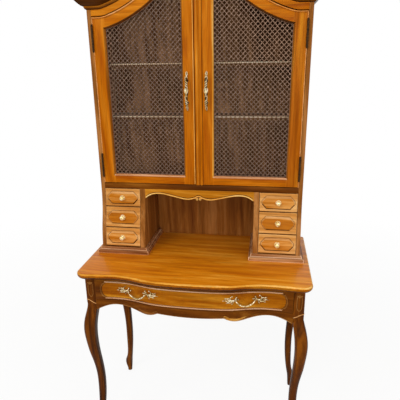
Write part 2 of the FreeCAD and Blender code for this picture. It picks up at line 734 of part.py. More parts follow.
def longPulls():
    """Two cast pulls, each turned to the slope of the drawer's face where it is fixed."""
    face = size("FrontOverhang")
    reach = size("PullCentres") / 2
    z = (place("LongTop") + place("LongUnder")) / 2 + size("PullRise")
    behind = bowSolid(face - size("PullSeat"))
    for side, sign in LEFT_RIGHT:
        x = sign * size("PullSpread")
        near, far = bowAt(x - reach, face), bowAt(x + reach, face)
        middle = (near + far) / 2
        slope = math.atan2(far - near, 2 * reach)

        def seatAt(along):
            across = along * math.cos(slope)
            return (bowAt(x + across, face) - middle) * math.cos(slope) - across * math.sin(slope)

        body = pullShape(seatAt)
        body.rotate(V(0, 0, 0), V(0, 0, 1), math.degrees(slope))
        body.translate(V(x, middle, z))
        name = "long_drawer_pull_" + side
        keep(shaped(name, body.cut(behind)), name)


# ---------------------------------------------------------------- lower tier of the cabinet

def sweepRadius():
    """Radius of the two equal arcs that carry the lower tier forward."""
    tall = size("TierHeight") - size("TierFoot")
    return (tall * tall + size("TierSweep") ** 2) / (4 * size("TierSweep"))


def tierFace(z):
    """Y of the lower tier's face at a height."""
    radius = sweepRadius()
    tall = size("TierHeight") - size("TierFoot")
    down = min(max(place("TierTop") - z, 0), tall)
    if down < tall / 2:
        return place("HutchFront") - radius + math.sqrt(radius ** 2 - down ** 2)
    up = tall - down
    return place("HutchFront") - size("TierSweep") + radius - math.sqrt(radius ** 2 - up ** 2)


def tierCurve(shift):
    """The face's two arcs, from the cabinet floor down to the foot, moved forward by `shift`."""
    tall = size("TierHeight") - size("TierFoot")
    top = place("TierTop")

    def spot(share):
        z = top - tall * share
        return V(tierFace(z) - shift, z, 0)

    return [Part.Arc(spot(0), spot(0.25), spot(0.5)), Part.Arc(spot(0.5), spot(0.75), spot(1))]


def tierOutline(shift, bottom, back):
    """Closed outline behind the face, from `bottom` to the underside of the cabinet floor."""
    top = place("TierTop")
    front = tierFace(0) - shift
    head = place("HutchFront") - shift
    foot = top - size("TierHeight") + size("TierFoot")
    return tierCurve(shift) + line((front, foot), (front, bottom), (back, bottom), (back, top),
                                   (head, top))


def cabinetSides():
    """Full-height sides with a swept lower front edge, and the niche's two partitions."""
    desk = size("DeskHeight")
    front, back = place("HutchFront"), place("HutchBack")
    head = size("ShoulderHeight") + place("CrownRise")
    foot = desk + size("TierFoot")
    toe = tierFace(0)
    tall = tierCurve(0) + line((toe, foot), (toe, desk), (back, desk), (back, head), (front, head),
                               (front, place("TierTop")))
    for side, sign in LEFT_RIGHT:
        body = padded("side_" + side, "YZ_Plane", tall, f"{S}SideBoard",
                      sided(sign, f"{P}SideInner", f"{S}SideBoard"))
        keep(body, "side_" + side)
    low = tierOutline(0, desk, place("PanelFace"))
    for side, sign in LEFT_RIGHT:
        body = padded("partition_" + side, "YZ_Plane", low, f"{S}Partition",
                      sided(sign, f"{P}NicheEdge", f"{S}Partition"))
        keep(body, "partition_" + side)


def cabinetBoards():
    """Cabinet floor, arched back panel, header and the three bent top boards."""
    keep(board("cabinet_floor", (f"-{P}SideInner", f"{P}HutchFront", f"{P}TierTop"),
               (f"2 * {P}SideInner", f"{P}PanelFace - {P}HutchFront", f"{S}FloorBoard")),
         "cabinet_floor")

    inside = f"2 * {P}SideInner"
    arched = underArch("panel_arched", place("BonnetUnder"), f"{P}PanelFace", f"{S}BackBoard")
    crop = board("panel_crop", (f"-{P}SideInner", f"{P}PanelFace", f"{P}DoorBottom"),
                 (inside, f"{S}BackBoard", f"{S}ShoulderHeight"))
    upper = combine("Part::Common", "panel_upper", arched, crop)
    lower = board("panel_lower", (f"-{P}SideInner", f"{P}PanelFace", f"{S}DeskHeight"),
                  (inside, f"{S}BackBoard", f"{P}DoorBottom - {S}DeskHeight"))
    panel = combine("Part::MultiFuse", "back_panel", upper, lower)
    panel.Refine = True
    keep(panel, "back_panel")

    outer = underArch("header_outer", place("CrownRise"), f"{P}HutchFront", f"{S}DoorBoard")
    inner = underArch("header_inner", size("TopRail") + size("FrontGap"), f"{P}HutchFront",
                      f"{S}DoorBoard")
    band = combine("Part::Cut", "header_band", outer, inner)
    crop = board("header_crop", (f"-{P}SideInner", f"{P}HutchFront", f"{P}DoorBottom"),
                 (inside, f"{S}DoorBoard", f"{S}ShoulderHeight"))
    keep(combine("Part::Common", "arched_header", band, crop), "arched_header")

    depth = f"{P}HutchBack - {P}DoorBack"
    outer = underArch("bonnet_outer", place("BonnetRise"), f"{P}DoorBack", depth)
    inner = underArch("bonnet_inner", place("BonnetUnder"), f"{P}DoorBack", depth)
    band = combine("Part::Cut", "bonnet_band", outer, inner)
    end, joint = f"{P}SideInner", f"{S}BonnetJoint"
    bent = []
    for name, low, width in (("left", f"-{end}", f"{end} - {joint}"),
                             ("crown", f"-{joint}", f"2 * {joint}"),
                             ("right", joint, f"{end} - {joint}")):
        crop = board("bonnet_crop_" + name, (low, f"{P}DoorBack", f"{P}DoorBottom"),
                     (width, depth, f"{S}ShoulderHeight"))
        bent.append(combine("Part::Common", "bonnet_" + name, band, crop))
    keep(combine("Part::Compound", "bonnet_top", *bent), "bonnet_top")


def corniceProfile():
    """Section of the crown moulding as (projection, height) with its curves sampled as arcs."""
    out, tall = size("CorniceOut"), size("CorniceHeight")
    bead = [V(0, 7, 0), V(5, 11, 0), V(7, 18, 0)]
    cove = [V(13, 19, 0), V(out * 0.53, tall * 0.46, 0), V(out * 0.79, tall * 0.68, 0)]
    ovolo = [V(out * 0.81, tall * 0.73, 0), V(out * 0.95, tall * 0.8, 0), V(out, tall * 0.93, 0)]
    corner = [V(out, tall, 0), V(0, tall, 0), V(0, 0, 0), bead[0]]
    edges = [Part.Arc(*bead), Part.LineSegment(bead[2], cove[0]), Part.Arc(*cove),
             Part.LineSegment(cove[2], ovolo[0]), Part.Arc(*ovolo),
             Part.LineSegment(ovolo[2], corner[0]), Part.LineSegment(corner[0], corner[1]),
             Part.LineSegment(corner[1], corner[2]), Part.LineSegment(corner[2], corner[3])]
    return Part.Wire([edge.toShape() for edge in edges])


def moulded(curve, front):
    """One straight or round length of the crown moulding, standing on a curve of the arched line."""
    edge = curve.toShape()
    start = edge.valueAt(edge.FirstParameter)
    heading = edge.tangentAt(edge.FirstParameter)
    along = V(heading.x, 0, heading.y)
    up = V(-heading.y, 0, heading.x)
    section = corniceProfile()
    section.Placement = Placement(V(start.x, front, start.y),
                                  Rotation(V(0, -1, 0), up, along * -1, "XYZ"))
    face = Part.Face(section)
    circle = edge.Curve
    if circle.TypeId != "Part::GeomCircle":
        return solidOf(face, along * edge.Length)
    centre = V(circle.Center.x, front, circle.Center.y)
    bend = edge.Length / circle.Radius
    toCentre = centre - V(start.x, front, start.y)
    turn = -1 if toCentre.dot(up) > 0 else 1
    return face.revolve(centre, V(0, 1, 0), turn * math.degrees(bend))


def cornice():
    """Crown moulding: one arched length across the front and a mitred return on each side."""
    out, tall = size("CorniceOut"), size("CorniceHeight")
    front, back, side = place("HutchFront"), place("HutchBack"), place("SideOuter")
    base = size("ShoulderHeight") + place("CorniceRise")
    standing = Placement(V(0, 0, 0), Rotation(V(1, 0, 0), 90))

    arch = Arch(place("CorniceRise"))
    lengths = [moulded(curve, front) for curve in arch.path(side + out)]
    run = lengths[0].multiFuse(lengths[1:]).removeSplitter()
    low, high = base - 5, arch.top + tall + 5

    def mitred(points):
        face = Part.Face(Part.makePolygon([V(x, y, low) for x, y in points + points[:1]]))
        return solidOf(face, V(0, 0, high - low))

    across = mitred([(-side - out, front - out), (side + out, front - out), (side, front),
                     (-side, front)])
    pieces = [run.common(across)]
    for _, sign in LEFT_RIGHT:
        section = corniceProfile()
        section.Placement = standing
        if sign < 0:
            section = section.mirror(V(0, 0, 0), V(1, 0, 0))
        section.translate(V(sign * side, back, base))
        straight = solidOf(Part.Face(section), V(0, front - out - back, 0))
        keepOff = mitred([(sign * side, front), (sign * (side + out), front - out),
                          (sign * (side + out), back), (sign * side, back)])
        pieces.append(straight.common(keepOff))
    keep(shaped("cornice", Part.makeCompound([solid for item in pieces for solid in item.Solids])),
         "cornice")


def shelves():
    """Two shelves on brass pins."""
    boards = []
    pins = []
    back = place("PanelFace")
    front = place("HutchFront") + size("ShelfSetback")
    for name in ("UpperShelf", "LowerShelf"):
        boards.append(board("shelf_" + name.lower(),
                            (f"-{P}SideInner + {S}GrilleFit",
                             f"{P}HutchFront + {S}ShelfSetback", f"{S}{name} - {S}ShelfBoard"),
                            (f"2 * ({P}SideInner - {S}GrilleFit)",
                             f"{P}PanelFace - {P}HutchFront - {S}ShelfSetback",
                             f"{S}ShelfBoard")))
        z = size(name) - size("ShelfBoard") - size("PinRadius")
        for _, sign in LEFT_RIGHT:
            for y in (front + size("PinInset"), back - size("PinInset")):
                start = V(sign * place("SideInner"), y, z)
                pins.append(Part.makeCylinder(size("PinRadius"), size("PinLength"), start,
                                              V(-sign, 0, 0)))
    keep(combine("Part::Compound", "shelves", *boards), "shelves")
    keep(shaped("shelf_pins", Part.makeCompound(pins)), "shelf_pins")


def valance():
    """Scrolled board across the top of the niche."""
    top = place("TierTop")
    end = place("NicheEdge")
    right = [
        (5, top - size("ValanceCentre")),
        (27, top - size("ValanceDip") + 2),
        (45, top - size("ValanceDip")),
        (75, top - size("ValanceDip") + 5),
        (110, top - size("ValanceArch") - 7),
        (end - 61, top - size("ValanceArch")),
        (end - 26, top - size("ValanceArch") - 4),
        (end - 10, top - size("ValanceEnd") + 9),
        (end, top - size("ValanceEnd")),
    ]
    left = [(-x, z) for x, z in reversed(right)]
    notch = line(left[-1], right[0])
    outline = [through(left)] + notch + [through(right)]
    outline += line(right[-1], (end, top), (-end, top), left[0])
    body = padded("niche_valance", "XZ_Plane", outline, f"{S}ValanceBoard",
                  f"{P}HutchFront + {S}ValanceSetback")
    keep(body, "niche_valance")


def plinths():
    """Moulding round the foot of each drawer bank: front and two returns, mitred as one."""
    desk = size("DeskHeight")
    for side, sign in LEFT_RIGHT:
        levels = []
        inner, outer = place("NicheEdge"), place("SideOuter")
        toe, back = tierFace(0), place("PanelFace")
        for out, low, high in ((size("PlinthOut"), 0, size("PlinthStep")),
                               (size("PlinthCapOut"), size("PlinthStep"), size("PlinthHeight"))):
            full = Part.makeBox(outer - inner + 2 * out, back - toe + out, high - low,
                                V(inner - out, toe - out, desk + low))
            levels.append(full)
        band = levels[0].fuse(levels[1])
        hollow = Part.makeBox(outer - inner, back - toe, 2 * size("PlinthHeight"),
                              V(inner, toe, desk - 1))
        band = band.cut(hollow).removeSplitter()
        if sign < 0:
            band = band.mirror(V(0, 0, 0), V(1, 0, 0))
        cap = desk + size("PlinthHeight")
        step = desk + size("PlinthStep")
        reach = toe - size("PlinthOut")

        def outerRim(edge):
            box = edge.BoundBox
            level = abs(box.ZMin - box.ZMax) < 0.01
            top = abs(box.ZMax - cap) < 0.01
            mid = abs(box.ZMax - step) < 0.01
            x = abs(edge.CenterOfMass.x)
            y = edge.CenterOfMass.y
            capEdge = (x < inner - 1 or x > outer + 1 or y < toe - 1) and y < back - 1
            stepEdge = (x < inner - size("PlinthCapOut") - 1 or y < reach + 1
                        or x > outer + size("PlinthCapOut") + 1) and y < back - 1
            return level and ((top and capEdge) or (mid and stepEdge))

        soft = band.makeFillet(size("PlinthCapOut") * 0.6, [e for e in band.Edges if outerRim(e)])
        keep(shaped("plinth_" + side, soft), "plinth_" + side)


# ---------------------------------------------------------------- small drawers

ROWS = ("upper", "middle", "lower")


def rowSpan(index):
    """Bottom and top of a row of small drawer fronts."""
    heights = [size("UpperRow"), size("MiddleRow"), size("LowerRow")]
    top = place("TierTop") - size("RowTopGap")
    for height in heights[:index]:
        top -= height + size("RowGap")
    return top - heights[index], top


def rowBack(index):
    """Y of the flat back of a small drawer front."""
    return tierFace(rowSpan(index)[1]) + size("RowFront")


def bankBoards():
    """Floor board and two dust boards in each bank."""
    boards = []
    thick = size("RowDivider")
    for _, sign in LEFT_RIGHT:
        inner, outer = sorted((sign * place("BankInner"), sign * place("SideInner")))
        back = place("PanelFace")
        floor = place("BankFloor") - thick
        front = tierFace(0) + size("DividerGap")
        boards.append(Part.makeBox(outer - inner, back - front, thick, V(inner, front, floor)))
        for index in (0, 1):
            middle = rowSpan(index)[0] - size("RowGap") / 2
            front = max(rowBack(index), rowBack(index + 1)) + size("DividerGap")
            boards.append(Part.makeBox(outer - inner, back - front, thick,
                                       V(inner, front, middle - thick / 2)))
    keep(shaped("dust_boards", Part.makeCompound(boards)), "dust_boards")


def smallDrawers():
    """Six small drawers: a swept front with a raised field, a tray behind it and a knob."""
    plain = padded("tier_blank", "YZ_Plane", tierOutline(0, size("DeskHeight"), place("PanelFace")),
                   f"2 * {P}SideInner", symmetric=True)
    proud = padded("tier_proud", "YZ_Plane",
                   tierOutline(size("FieldOut"), size("DeskHeight"), place("PanelFace")),
                   f"2 * {P}SideInner", symmetric=True)
    knob = knobShape()
    seat = proud.Shape.copy()
    seat.translate(V(0, -size("KnobSeat"), 0))
    for side, sign in LEFT_RIGHT:
        low = place("BankInner") + size("RowSideGap")
        high = place("SideInner") - size("RowSideGap")
        left, right = sorted((sign * low, sign * high))
        for index, row in enumerate(ROWS):
            bottom, top = rowSpan(index)
            back = rowBack(index)
            name = f"drawer_{side}_{row}"
            front = place("HutchFront") - size("TierSweep") - size("FieldOut")
            block = Part.makeBox(right - left, back - front, top - bottom, V(left, front, bottom))
            middle = V((left + right) / 2, front, (bottom + top) / 2)
            raised = fieldPrism(middle, back - front)
            field = bevelled(proud.Shape.common(raised))
            shape = plain.Shape.common(block).fuse(field).removeSplitter()
            keep(shaped(name + "_front", shape), name + "_front")
            keep(shaped(name + "_tray", tray(left, right, back, bottom, top, index)),
                 name + "_tray")
            turned = knob.copy()
            turned.translate(V(middle.x, tierFace(middle.z) - size("FieldOut"), middle.z))
            keep(shaped(name + "_knob", turned.cut(seat)), name + "_knob")


def bevelled(field):
    """A field's block with the rim of its swept face bevelled."""
    faces = [face for face in field.Faces if face.Surface.TypeId == "Part::GeomCylinder"]
    rim = []
    for face in faces:
        for edge in face.Edges:
            if sum(other.isSame(edge) for near in faces for other in near.Edges) == 1:
                rim.append(edge)
    return field.makeChamfer(size("FieldBevel"), rim)


def fieldPrism(middle, depth):
    """The raised field's outline, a long lozenge with blunt tips, drawn back through the front."""
    half, tall = size("FieldWidth") / 2, size("FieldHeight") / 2
    shoulder, nose = half - size("FieldPoint"), size("FieldNose") / 2
    quarter = [(half, nose), (shoulder, tall), (-shoulder, tall), (-half, nose)]
    around = quarter + [(-x, -z) for x, z in quarter]
    corners = [middle + V(x, 0, z) for x, z in around]
    face = Part.Face(Part.makePolygon(corners + corners[:1]))
    return solidOf(face, V(0, depth, 0))


def tray(left, right, back, bottom, top, index):
    """The open box behind a small drawer front, glued up from its floor and four walls."""
    play = size("TrayPlay")
    half = size("RowDivider") / 2 - size("RowGap") / 2
    floor = place("BankFloor") if index == 2 else bottom + half
    low = floor + size("RunPlay")
    high = top - half - play
    wide = right - left - 2 * play
    outer = Part.makeBox(wide, size("TrayDepth"), high - low, V(left + play, back, low))
    wall = size("TrayWall")
    inner = Part.makeBox(wide - 2 * wall, size("TrayDepth") - 2 * wall, high - low,
                         V(left + play + wall, back + wall, low + size("TrayFloor")))
    return outer.cut(inner)


def knobShape():
    """Turned knob about -Y, its seat at the origin."""
    radius, out, neck = size("KnobRadius"), size("KnobOut"), size("KnobNeck")
    button, plate, spare = size("KnobButton"), size("KnobRose"), size("KnobSpare")
    rose = radius * 0.75
    widest = out - radius * 0.45
    profile = [
        Part.makeLine(V(0, spare, 0), V(rose, spare, 0)),
        Part.makeLine(V(rose, spare, 0), V(rose, -plate, 0)),
        Part.Arc(V(rose, -plate, 0), V(neck * 1.15, -2 * plate, 0),
                 V(neck, -out * 0.42, 0)).toShape(),
        Part.Arc(V(neck, -out * 0.42, 0), V(radius * 0.86, -out * 0.55, 0),
                 V(radius, -widest, 0)).toShape(),
        Part.Arc(V(radius, -widest, 0), V(radius * 0.76, -out * 0.92, 0),
                 V(button, -out, 0)).toShape(),
        Part.makeLine(V(button, -out, 0), V(0, -out, 0)),
        Part.makeLine(V(0, -out, 0), V(0, spare, 0)),
    ]
    face = Part.Face(Part.Wire(profile))
    return face.revolve(V(0, 0, 0), V(0, 1, 0), 360)


# ---------------------------------------------------------------- doors

def doorSpan(sign):
    """Left and right edge of a door, and of its opening."""
    meeting = -size("MeetingShift")
    gap = size("FrontGap") / 2
    if sign < 0:
        right = meeting - gap
        return (-place("DoorEdge"), right), (-place("OpeningOuter"),
                                            right - size("LeftMeetingStile"))
    left = meeting + gap
    return (left, place("DoorEdge")), (left + size("RightMeetingStile"), place("OpeningOuter"))


def archedBlock(rise, left, right, bottom, front, depth):
    """The solid under the arched line between two uprights."""
    wire = Part.Wire([c.toShape() for c in Arch(rise).outline(place("SideOuter"), bottom)])
    wire.Placement = Placement(V(0, front, 0), Rotation(V(1, 0, 0), 90))
    solid = solidOf(Part.Face(wire), V(0, depth, 0))
    height = Arch(rise).top - bottom + 1
    return solid.common(Part.makeBox(right - left, depth, height, V(left, front, bottom)))


def doorFrame(side, sign):
    """Stiles and rails with a bevelled opening, rebated behind for the grille."""
    (left, right), (inLeft, inRight) = doorSpan(sign)
    front, thick = place("HutchFront"), size("DoorBoard")
    bottom, sill = place("DoorBottom"), place("OpeningBottom")
    blank = archedBlock(size("TopRail"), left, right, bottom, front, thick)
    hole = archedBlock(0, inLeft, inRight, sill, front - 1, thick + 2)
    wide = size("RebateWidth")
    lip = size("RebateLip")
    rebate = archedBlock(wide, inLeft - wide, inRight + wide, sill - wide, front + lip, thick)
    frame = blank.cut(hole).cut(rebate)

    def openingRim(edge):
        box = edge.BoundBox
        flat = abs(box.YMin - front) < 0.01 and abs(box.YMax - front) < 0.01
        inside = box.XMin > inLeft - 0.1 and box.XMax < inRight + 0.1
        crest = Arch(size("TopRail") / 2).top
        return flat and inside and box.ZMin > sill - 0.1 and box.ZMax < crest

    frame = frame.makeChamfer(size("OpeningBevel"), [e for e in frame.Edges if openingRim(e)])
    tall = Arch(size("TopRail")).top
    outer = Part.makeBox(inLeft - left, 2 * thick, tall, V(left, front - 1, 0))
    inner = Part.makeBox(right - inRight, 2 * thick, tall, V(inRight, front - 1, 0))
    between = Part.makeBox(inRight - inLeft, 2 * thick, tall, V(inLeft, front - 1, 0))
    stiles = [frame.common(outer), frame.common(inner)]
    rails = frame.common(between)
    keep(shaped(f"door_{side}_stiles", Part.makeCompound([s for i in stiles for s in i.Solids])),
         f"door_{side}_stiles")
    keep(shaped(f"door_{side}_rails", Part.makeCompound(rails.Solids)), f"door_{side}_rails")


def grille(side, sign):
    """Lattice of flat wires in two layers, held by a border strip in the door's rebate."""
    _, (inLeft, inRight) = doorSpan(sign)
    fit = size("GrilleFit")
    rise = size("RebateWidth") - fit
    sill = place("OpeningBottom")
    front = place("HutchFront") + size("RebateLip")
    thick = size("WireThickness")
    depth = 2 * thick + fit / 2
    left, right, bottom = inLeft - rise, inRight + rise, sill - rise
    border = size("GrilleBorder")
    outer = archedBlock(rise, left, right, bottom, front, depth)
    hole = archedBlock(rise - border, left + border, right - border, bottom + border, front - 1,
                       depth + 2)
    field = archedBlock(rise - border / 2, left + border / 2, right - border / 2,
                        bottom + border / 2, front, depth)
    across, up, wide = size("WireAcross"), size("WireUp"), size("WireWidth")
    slant = math.atan2(up, across)
    top = Arch(rise).top
    middle = V((left + right) / 2, 0, (bottom + top) / 2)
    span = math.hypot(right - left, top - bottom) + 4 * across
    pitch = across * math.sin(slant)
    count = int(span / 2 / pitch) + 1
    wires = []
    for layer, turn in enumerate((slant, -slant)):
        y = front + layer * (thick + fit / 2)
        for step in range(-count, count + 1):
            strip = Part.makeBox(span, thick, wide, V(-span / 2, 0, step * pitch - wide / 2))
            strip.rotate(V(0, 0, 0), V(0, -1, 0), math.degrees(turn))
            strip.translate(V(middle.x, y, middle.z))
            wires.append(strip)
    trimmed = [item for item in Part.makeCompound(wires).common(field).Solids]
    body = outer.cut(hole).multiFuse(trimmed)
    keep(shaped("grille_" + side, body), "grille_" + side)


def astragal():
    """Moulded strip on the right door that covers the meeting line."""
    (left, _), _ = doorSpan(1)
    wide, out, bead = size("AstragalWidth"), size("AstragalOut"), size("AstragalBead")
    front = place("HutchFront")
    flat = wide - bead
    profile = [
        Part.makeLine(V(left, front, 0), V(left, front - out + 1.5, 0)),
        Part.Arc(V(left, front - out + 1.5, 0), V(left + flat * 0.3, front - out, 0),
                 V(left + flat - 1, front - out * 0.45, 0)).toShape(),
        Part.makeLine(V(left + flat - 1, front - out * 0.45, 0),
                      V(left + flat, front - out * 0.3, 0)),
        Part.Arc(V(left + flat, front - out * 0.3, 0),
                 V(left + flat + bead / 2, front - out * 0.95, 0),
                 V(left + wide, front, 0)).toShape(),
        Part.makeLine(V(left + wide, front, 0), V(left, front, 0)),
    ]
    strip = solidOf(Part.Face(Part.Wire(profile)), V(0, 0, 2 * size("ShoulderHeight")))
    arched = archedBlock(size("TopRail"), left, left + wide, place("DoorBottom"), front - out, out)
    keep(shaped("astragal", strip.common(arched)), "astragal")


def barrelPart(axis, low, high):
    """One knuckle of a hinge."""
    return Part.makeCylinder(size("BarrelRadius"), high - low, V(axis.x, axis.y, low))


def hinges():
    """Two butt hinges a door: case halves with the pin and ball ends, and door halves."""
    gap = size("KnuckleGap")
    tall = size("HingeHeight")
    leafThick = size("HingeLeaf")
    caseHalves = []
    doorHalves = {"left": [], "right": []}
    for side, sign in LEFT_RIGHT:
        axis = hingeAxis(sign)
        for height in (size("UpperHinge"), size("LowerHinge")):
            low = height - tall / 2
            step = tall / 5
            back = place("HutchFront") + size("HingeLeafDepth")
            for owner in ("case", "door"):
                knuckles = (0, 2, 4) if owner == "case" else (1, 3)
                parts = [barrelPart(axis, low + k * step + gap / 2, low + (k + 1) * step - gap / 2)
                         for k in knuckles]
                edge = place("SideInner") - leafThick if owner == "case" else place("DoorEdge")
                x = min(sign * edge, sign * (edge + leafThick))
                for k in knuckles:
                    plate = Part.makeBox(leafThick, back - axis.y, step - gap,
                                         V(x, axis.y, low + k * step + gap / 2))
                    parts.append(plate)
                start = low + (step * 0.5 if owner == "case" else step * 1.2)
                end = low + tall - (step * 0.5 if owner == "case" else step * 1.2)
                spread = Part.makeBox(leafThick, back - place("HutchFront"), end - start,
                                      V(x, place("HutchFront"), start))
                parts.append(spread)
                half = parts[0].multiFuse(parts[1:])
                if owner == "case":
                    clear = size("HingePin")
                    pin = Part.makeCylinder(clear, tall, V(axis.x, axis.y, low))
                    ends = [Part.makeSphere(size("FinialRadius"), V(axis.x, axis.y, z))
                            for z in (low - 1.5, low + tall + 1.5)]
                    caseHalves.append(half.multiFuse([pin] + ends))
                else:
                    bore = Part.makeCylinder(size("HingePin") + size("PinPlay"), tall + 2,
                                             V(axis.x, axis.y, low - 1))
                    doorHalves[side].append(half.cut(bore))
    keep(shaped("hinge_case_halves", Part.makeCompound(caseHalves)), "hinge_case_halves")
    for side, halves in doorHalves.items():
        keep(shaped(f"door_{side}_hinge_halves", Part.makeCompound(halves)),
             f"door_{side}_hinge_halves")


def hingeAxis(sign):
    """Plan place of a door's pin, level with the middle of the hinge gap."""
    middle = (place("DoorEdge") + place("SideInner")) / 2
    return V(sign * middle, place("HutchFront") - size("BarrelOut"), 0)


def doorHandle(side, sign):
    """Slender cast handle: bowed grip on two feet, tapering leaf tips and a ringed middle."""
    x = sign * size("HandleX")
    front, z = place("HutchFront"), size("HandleHeight")
    out, grip = size("HandleStandOff"), size("HandleGrip")
    reach = size("HandleCentres") / 2
    tip = size("HandleLength") / 2
    pieces = []
    for end in (-1, 1):
        foot = V(x, front, z + end * reach)
        pieces.append(Part.makeCylinder(grip * 1.15, out, foot, V(0, -1, 0)))
        pieces.append(Part.makeSphere(grip * 1.4, foot + V(0, -out, 0)))
        cone = Part.makeCone(grip * 1.1, grip * 0.35, tip - reach, foot + V(0, -out, 0),
                             V(0, (out - grip) / (tip - reach), end))
        pieces.append(cone)
    dip = [V(x, front - out, z - reach), V(x, front - out - 3, z), V(x, front - out, z + reach)]
    spine = Part.Wire([Part.Arc(*dip).toShape()])
    ring = Part.Wire([Part.makeCircle(grip, dip[0], spine.Edges[0].tangentAt(
        spine.Edges[0].FirstParameter))])
    pieces.append(spine.makePipeShell([ring], True, True))
    for height, radius in ((0, 1.75), (-grip * 1.8, 1.4), (grip * 1.8, 1.4)):
        pieces.append(Part.makeSphere(grip * radius, V(x, front - out - 2, z + height)))
    keep(shaped("handle_" + side, pieces[0].multiFuse(pieces[1:])), "handle_" + side)


def catches():
    """Ball catch cases on the cabinet floor, just behind the doors, which stop them closed."""
    cases = []
    y = place("DoorBack") + size("CatchPlay")
    for _, sign in LEFT_RIGHT:
        middle = sign * size("HandleX") - size("MeetingShift")
        cases.append(Part.makeBox(size("CatchWidth"), size("CatchDepth"), size("CatchHeight"),
                                  V(middle - size("CatchWidth") / 2, y, place("CabinetFloor"))))
    keep(shaped("door_catches", Part.makeCompound(cases)), "door_catches")


# ---------------------------------------------------------------- build

deskTop()
for legName, legX, legY in (("leg_front_left", -1, -1), ("leg_front_right", 1, -1),
                            ("leg_rear_left", -1, 1), ("leg_rear_right", 1, 1)):
    leg(legName, legX, legY)
aprons()
runners()
longDrawer()
longPulls()
cabinetSides()
cabinetBoards()
cornice()
shelves()
valance()
plinths()
bankBoards()
smallDrawers()
for doorSide, doorSign in LEFT_RIGHT:
    doorFrame(doorSide, doorSign)
    grille(doorSide, doorSign)
    doorHandle(doorSide, doorSign)
astragal()
hinges()
catches()
doc.recompute()

for item in doc.Objects:
    if "Invalid" in item.State or "Error" in item.State:
        raise RuntimeError(f"{item.Label} failed: {item.State}")
for item in nodes:
    if item.Shape.isNull() or not item.Shape.isValid() or not item.Shape.Solids:
        raise RuntimeError(f"{item.Label} has no valid solid")

os.makedirs("parts", exist_ok=True)
for item in nodes:
    item.Shape.exportStep(f"parts/{item.Label}.step")
    print(f"{item.Label}: {len(item.Shape.Solids)} solids, {item.Shape.Volume / 1000:.1f} cm3")
print(len(nodes), "nodes")
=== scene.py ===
import math

import bpy
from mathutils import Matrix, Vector
from mathutils.bvhtree import BVHTree
import json

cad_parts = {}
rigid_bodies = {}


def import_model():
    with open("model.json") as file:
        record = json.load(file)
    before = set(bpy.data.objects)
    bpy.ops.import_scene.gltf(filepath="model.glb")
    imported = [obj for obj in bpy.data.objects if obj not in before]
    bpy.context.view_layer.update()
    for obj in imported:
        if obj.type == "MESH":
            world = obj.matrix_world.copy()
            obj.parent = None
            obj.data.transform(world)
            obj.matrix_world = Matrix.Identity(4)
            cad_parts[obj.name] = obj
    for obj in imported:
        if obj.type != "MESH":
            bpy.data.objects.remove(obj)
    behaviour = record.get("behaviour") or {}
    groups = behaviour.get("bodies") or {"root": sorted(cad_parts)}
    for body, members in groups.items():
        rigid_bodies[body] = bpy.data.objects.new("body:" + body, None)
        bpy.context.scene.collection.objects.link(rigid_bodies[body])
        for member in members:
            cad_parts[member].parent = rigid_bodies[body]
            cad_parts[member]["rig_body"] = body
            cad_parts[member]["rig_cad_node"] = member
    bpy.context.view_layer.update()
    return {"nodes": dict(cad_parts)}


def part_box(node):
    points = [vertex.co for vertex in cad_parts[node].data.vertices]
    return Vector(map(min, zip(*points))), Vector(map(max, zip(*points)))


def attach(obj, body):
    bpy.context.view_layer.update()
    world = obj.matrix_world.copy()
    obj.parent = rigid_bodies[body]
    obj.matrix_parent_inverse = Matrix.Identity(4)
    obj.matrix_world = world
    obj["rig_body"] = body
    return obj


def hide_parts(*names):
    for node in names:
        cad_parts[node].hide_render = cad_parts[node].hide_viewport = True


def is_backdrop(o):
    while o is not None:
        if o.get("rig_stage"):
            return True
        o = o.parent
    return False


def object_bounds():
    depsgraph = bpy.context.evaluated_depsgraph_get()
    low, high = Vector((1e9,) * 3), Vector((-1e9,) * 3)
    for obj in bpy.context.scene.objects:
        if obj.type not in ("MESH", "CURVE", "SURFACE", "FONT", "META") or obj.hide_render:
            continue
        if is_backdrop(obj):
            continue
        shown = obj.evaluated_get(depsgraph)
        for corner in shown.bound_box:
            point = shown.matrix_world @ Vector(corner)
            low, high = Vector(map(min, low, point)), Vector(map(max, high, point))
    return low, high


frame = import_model()
cad = frame["nodes"]
root = "desk_and_cabinet"  # the body that stands still
bothSides = (("left", -1), ("right", 1))
drawerRows = ("upper", "middle", "lower")
print("frame loaded:", len(cad), "pieces")


# working on one object at a time

def only(piece):
    bpy.ops.object.select_all(action="DESELECT")
    piece.select_set(True)
    bpy.context.view_layer.objects.active = piece


def editWhole(piece):  # edit mode with the whole mesh selected
    only(piece)
    bpy.ops.object.mode_set(mode="EDIT")
    bpy.ops.mesh.select_all(action="SELECT")


def cutLevel(piece, height):  # a level cut through its faces, so that a colour can end there
    editWhole(piece)
    bpy.ops.mesh.bisect(plane_co=(0, 0, height), plane_no=(0, 0, 1))
    bpy.ops.object.mode_set(mode="OBJECT")


def bodyOf(nodeName):
    return cad[nodeName]["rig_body"]


def middleOf(nodeName):
    low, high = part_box(nodeName)
    return (Vector(low) + Vector(high)) / 2


def settle(piece, body, finishes):  # place goes into the mesh, then it rides on its body
    only(piece)
    bpy.ops.object.transform_apply(location=True, rotation=True, scale=True)
    piece.data.materials.clear()
    for finish in finishes:
        piece.data.materials.append(finish)
    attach(piece, body)
    return piece


# shader nodes

def shade(code):  # hex colour as the shader wants it
    parts = [int(code[i:i + 2], 16) / 255 for i in (0, 2, 4)]
    return [p / 12.92 if p <= 0.04045 else ((p + 0.055) / 1.055) ** 2.4 for p in parts] + [1]


def plug(tree, value, socket):
    if isinstance(value, bpy.types.NodeSocket):
        tree.links.new(value, socket)
    else:
        socket.default_value = value


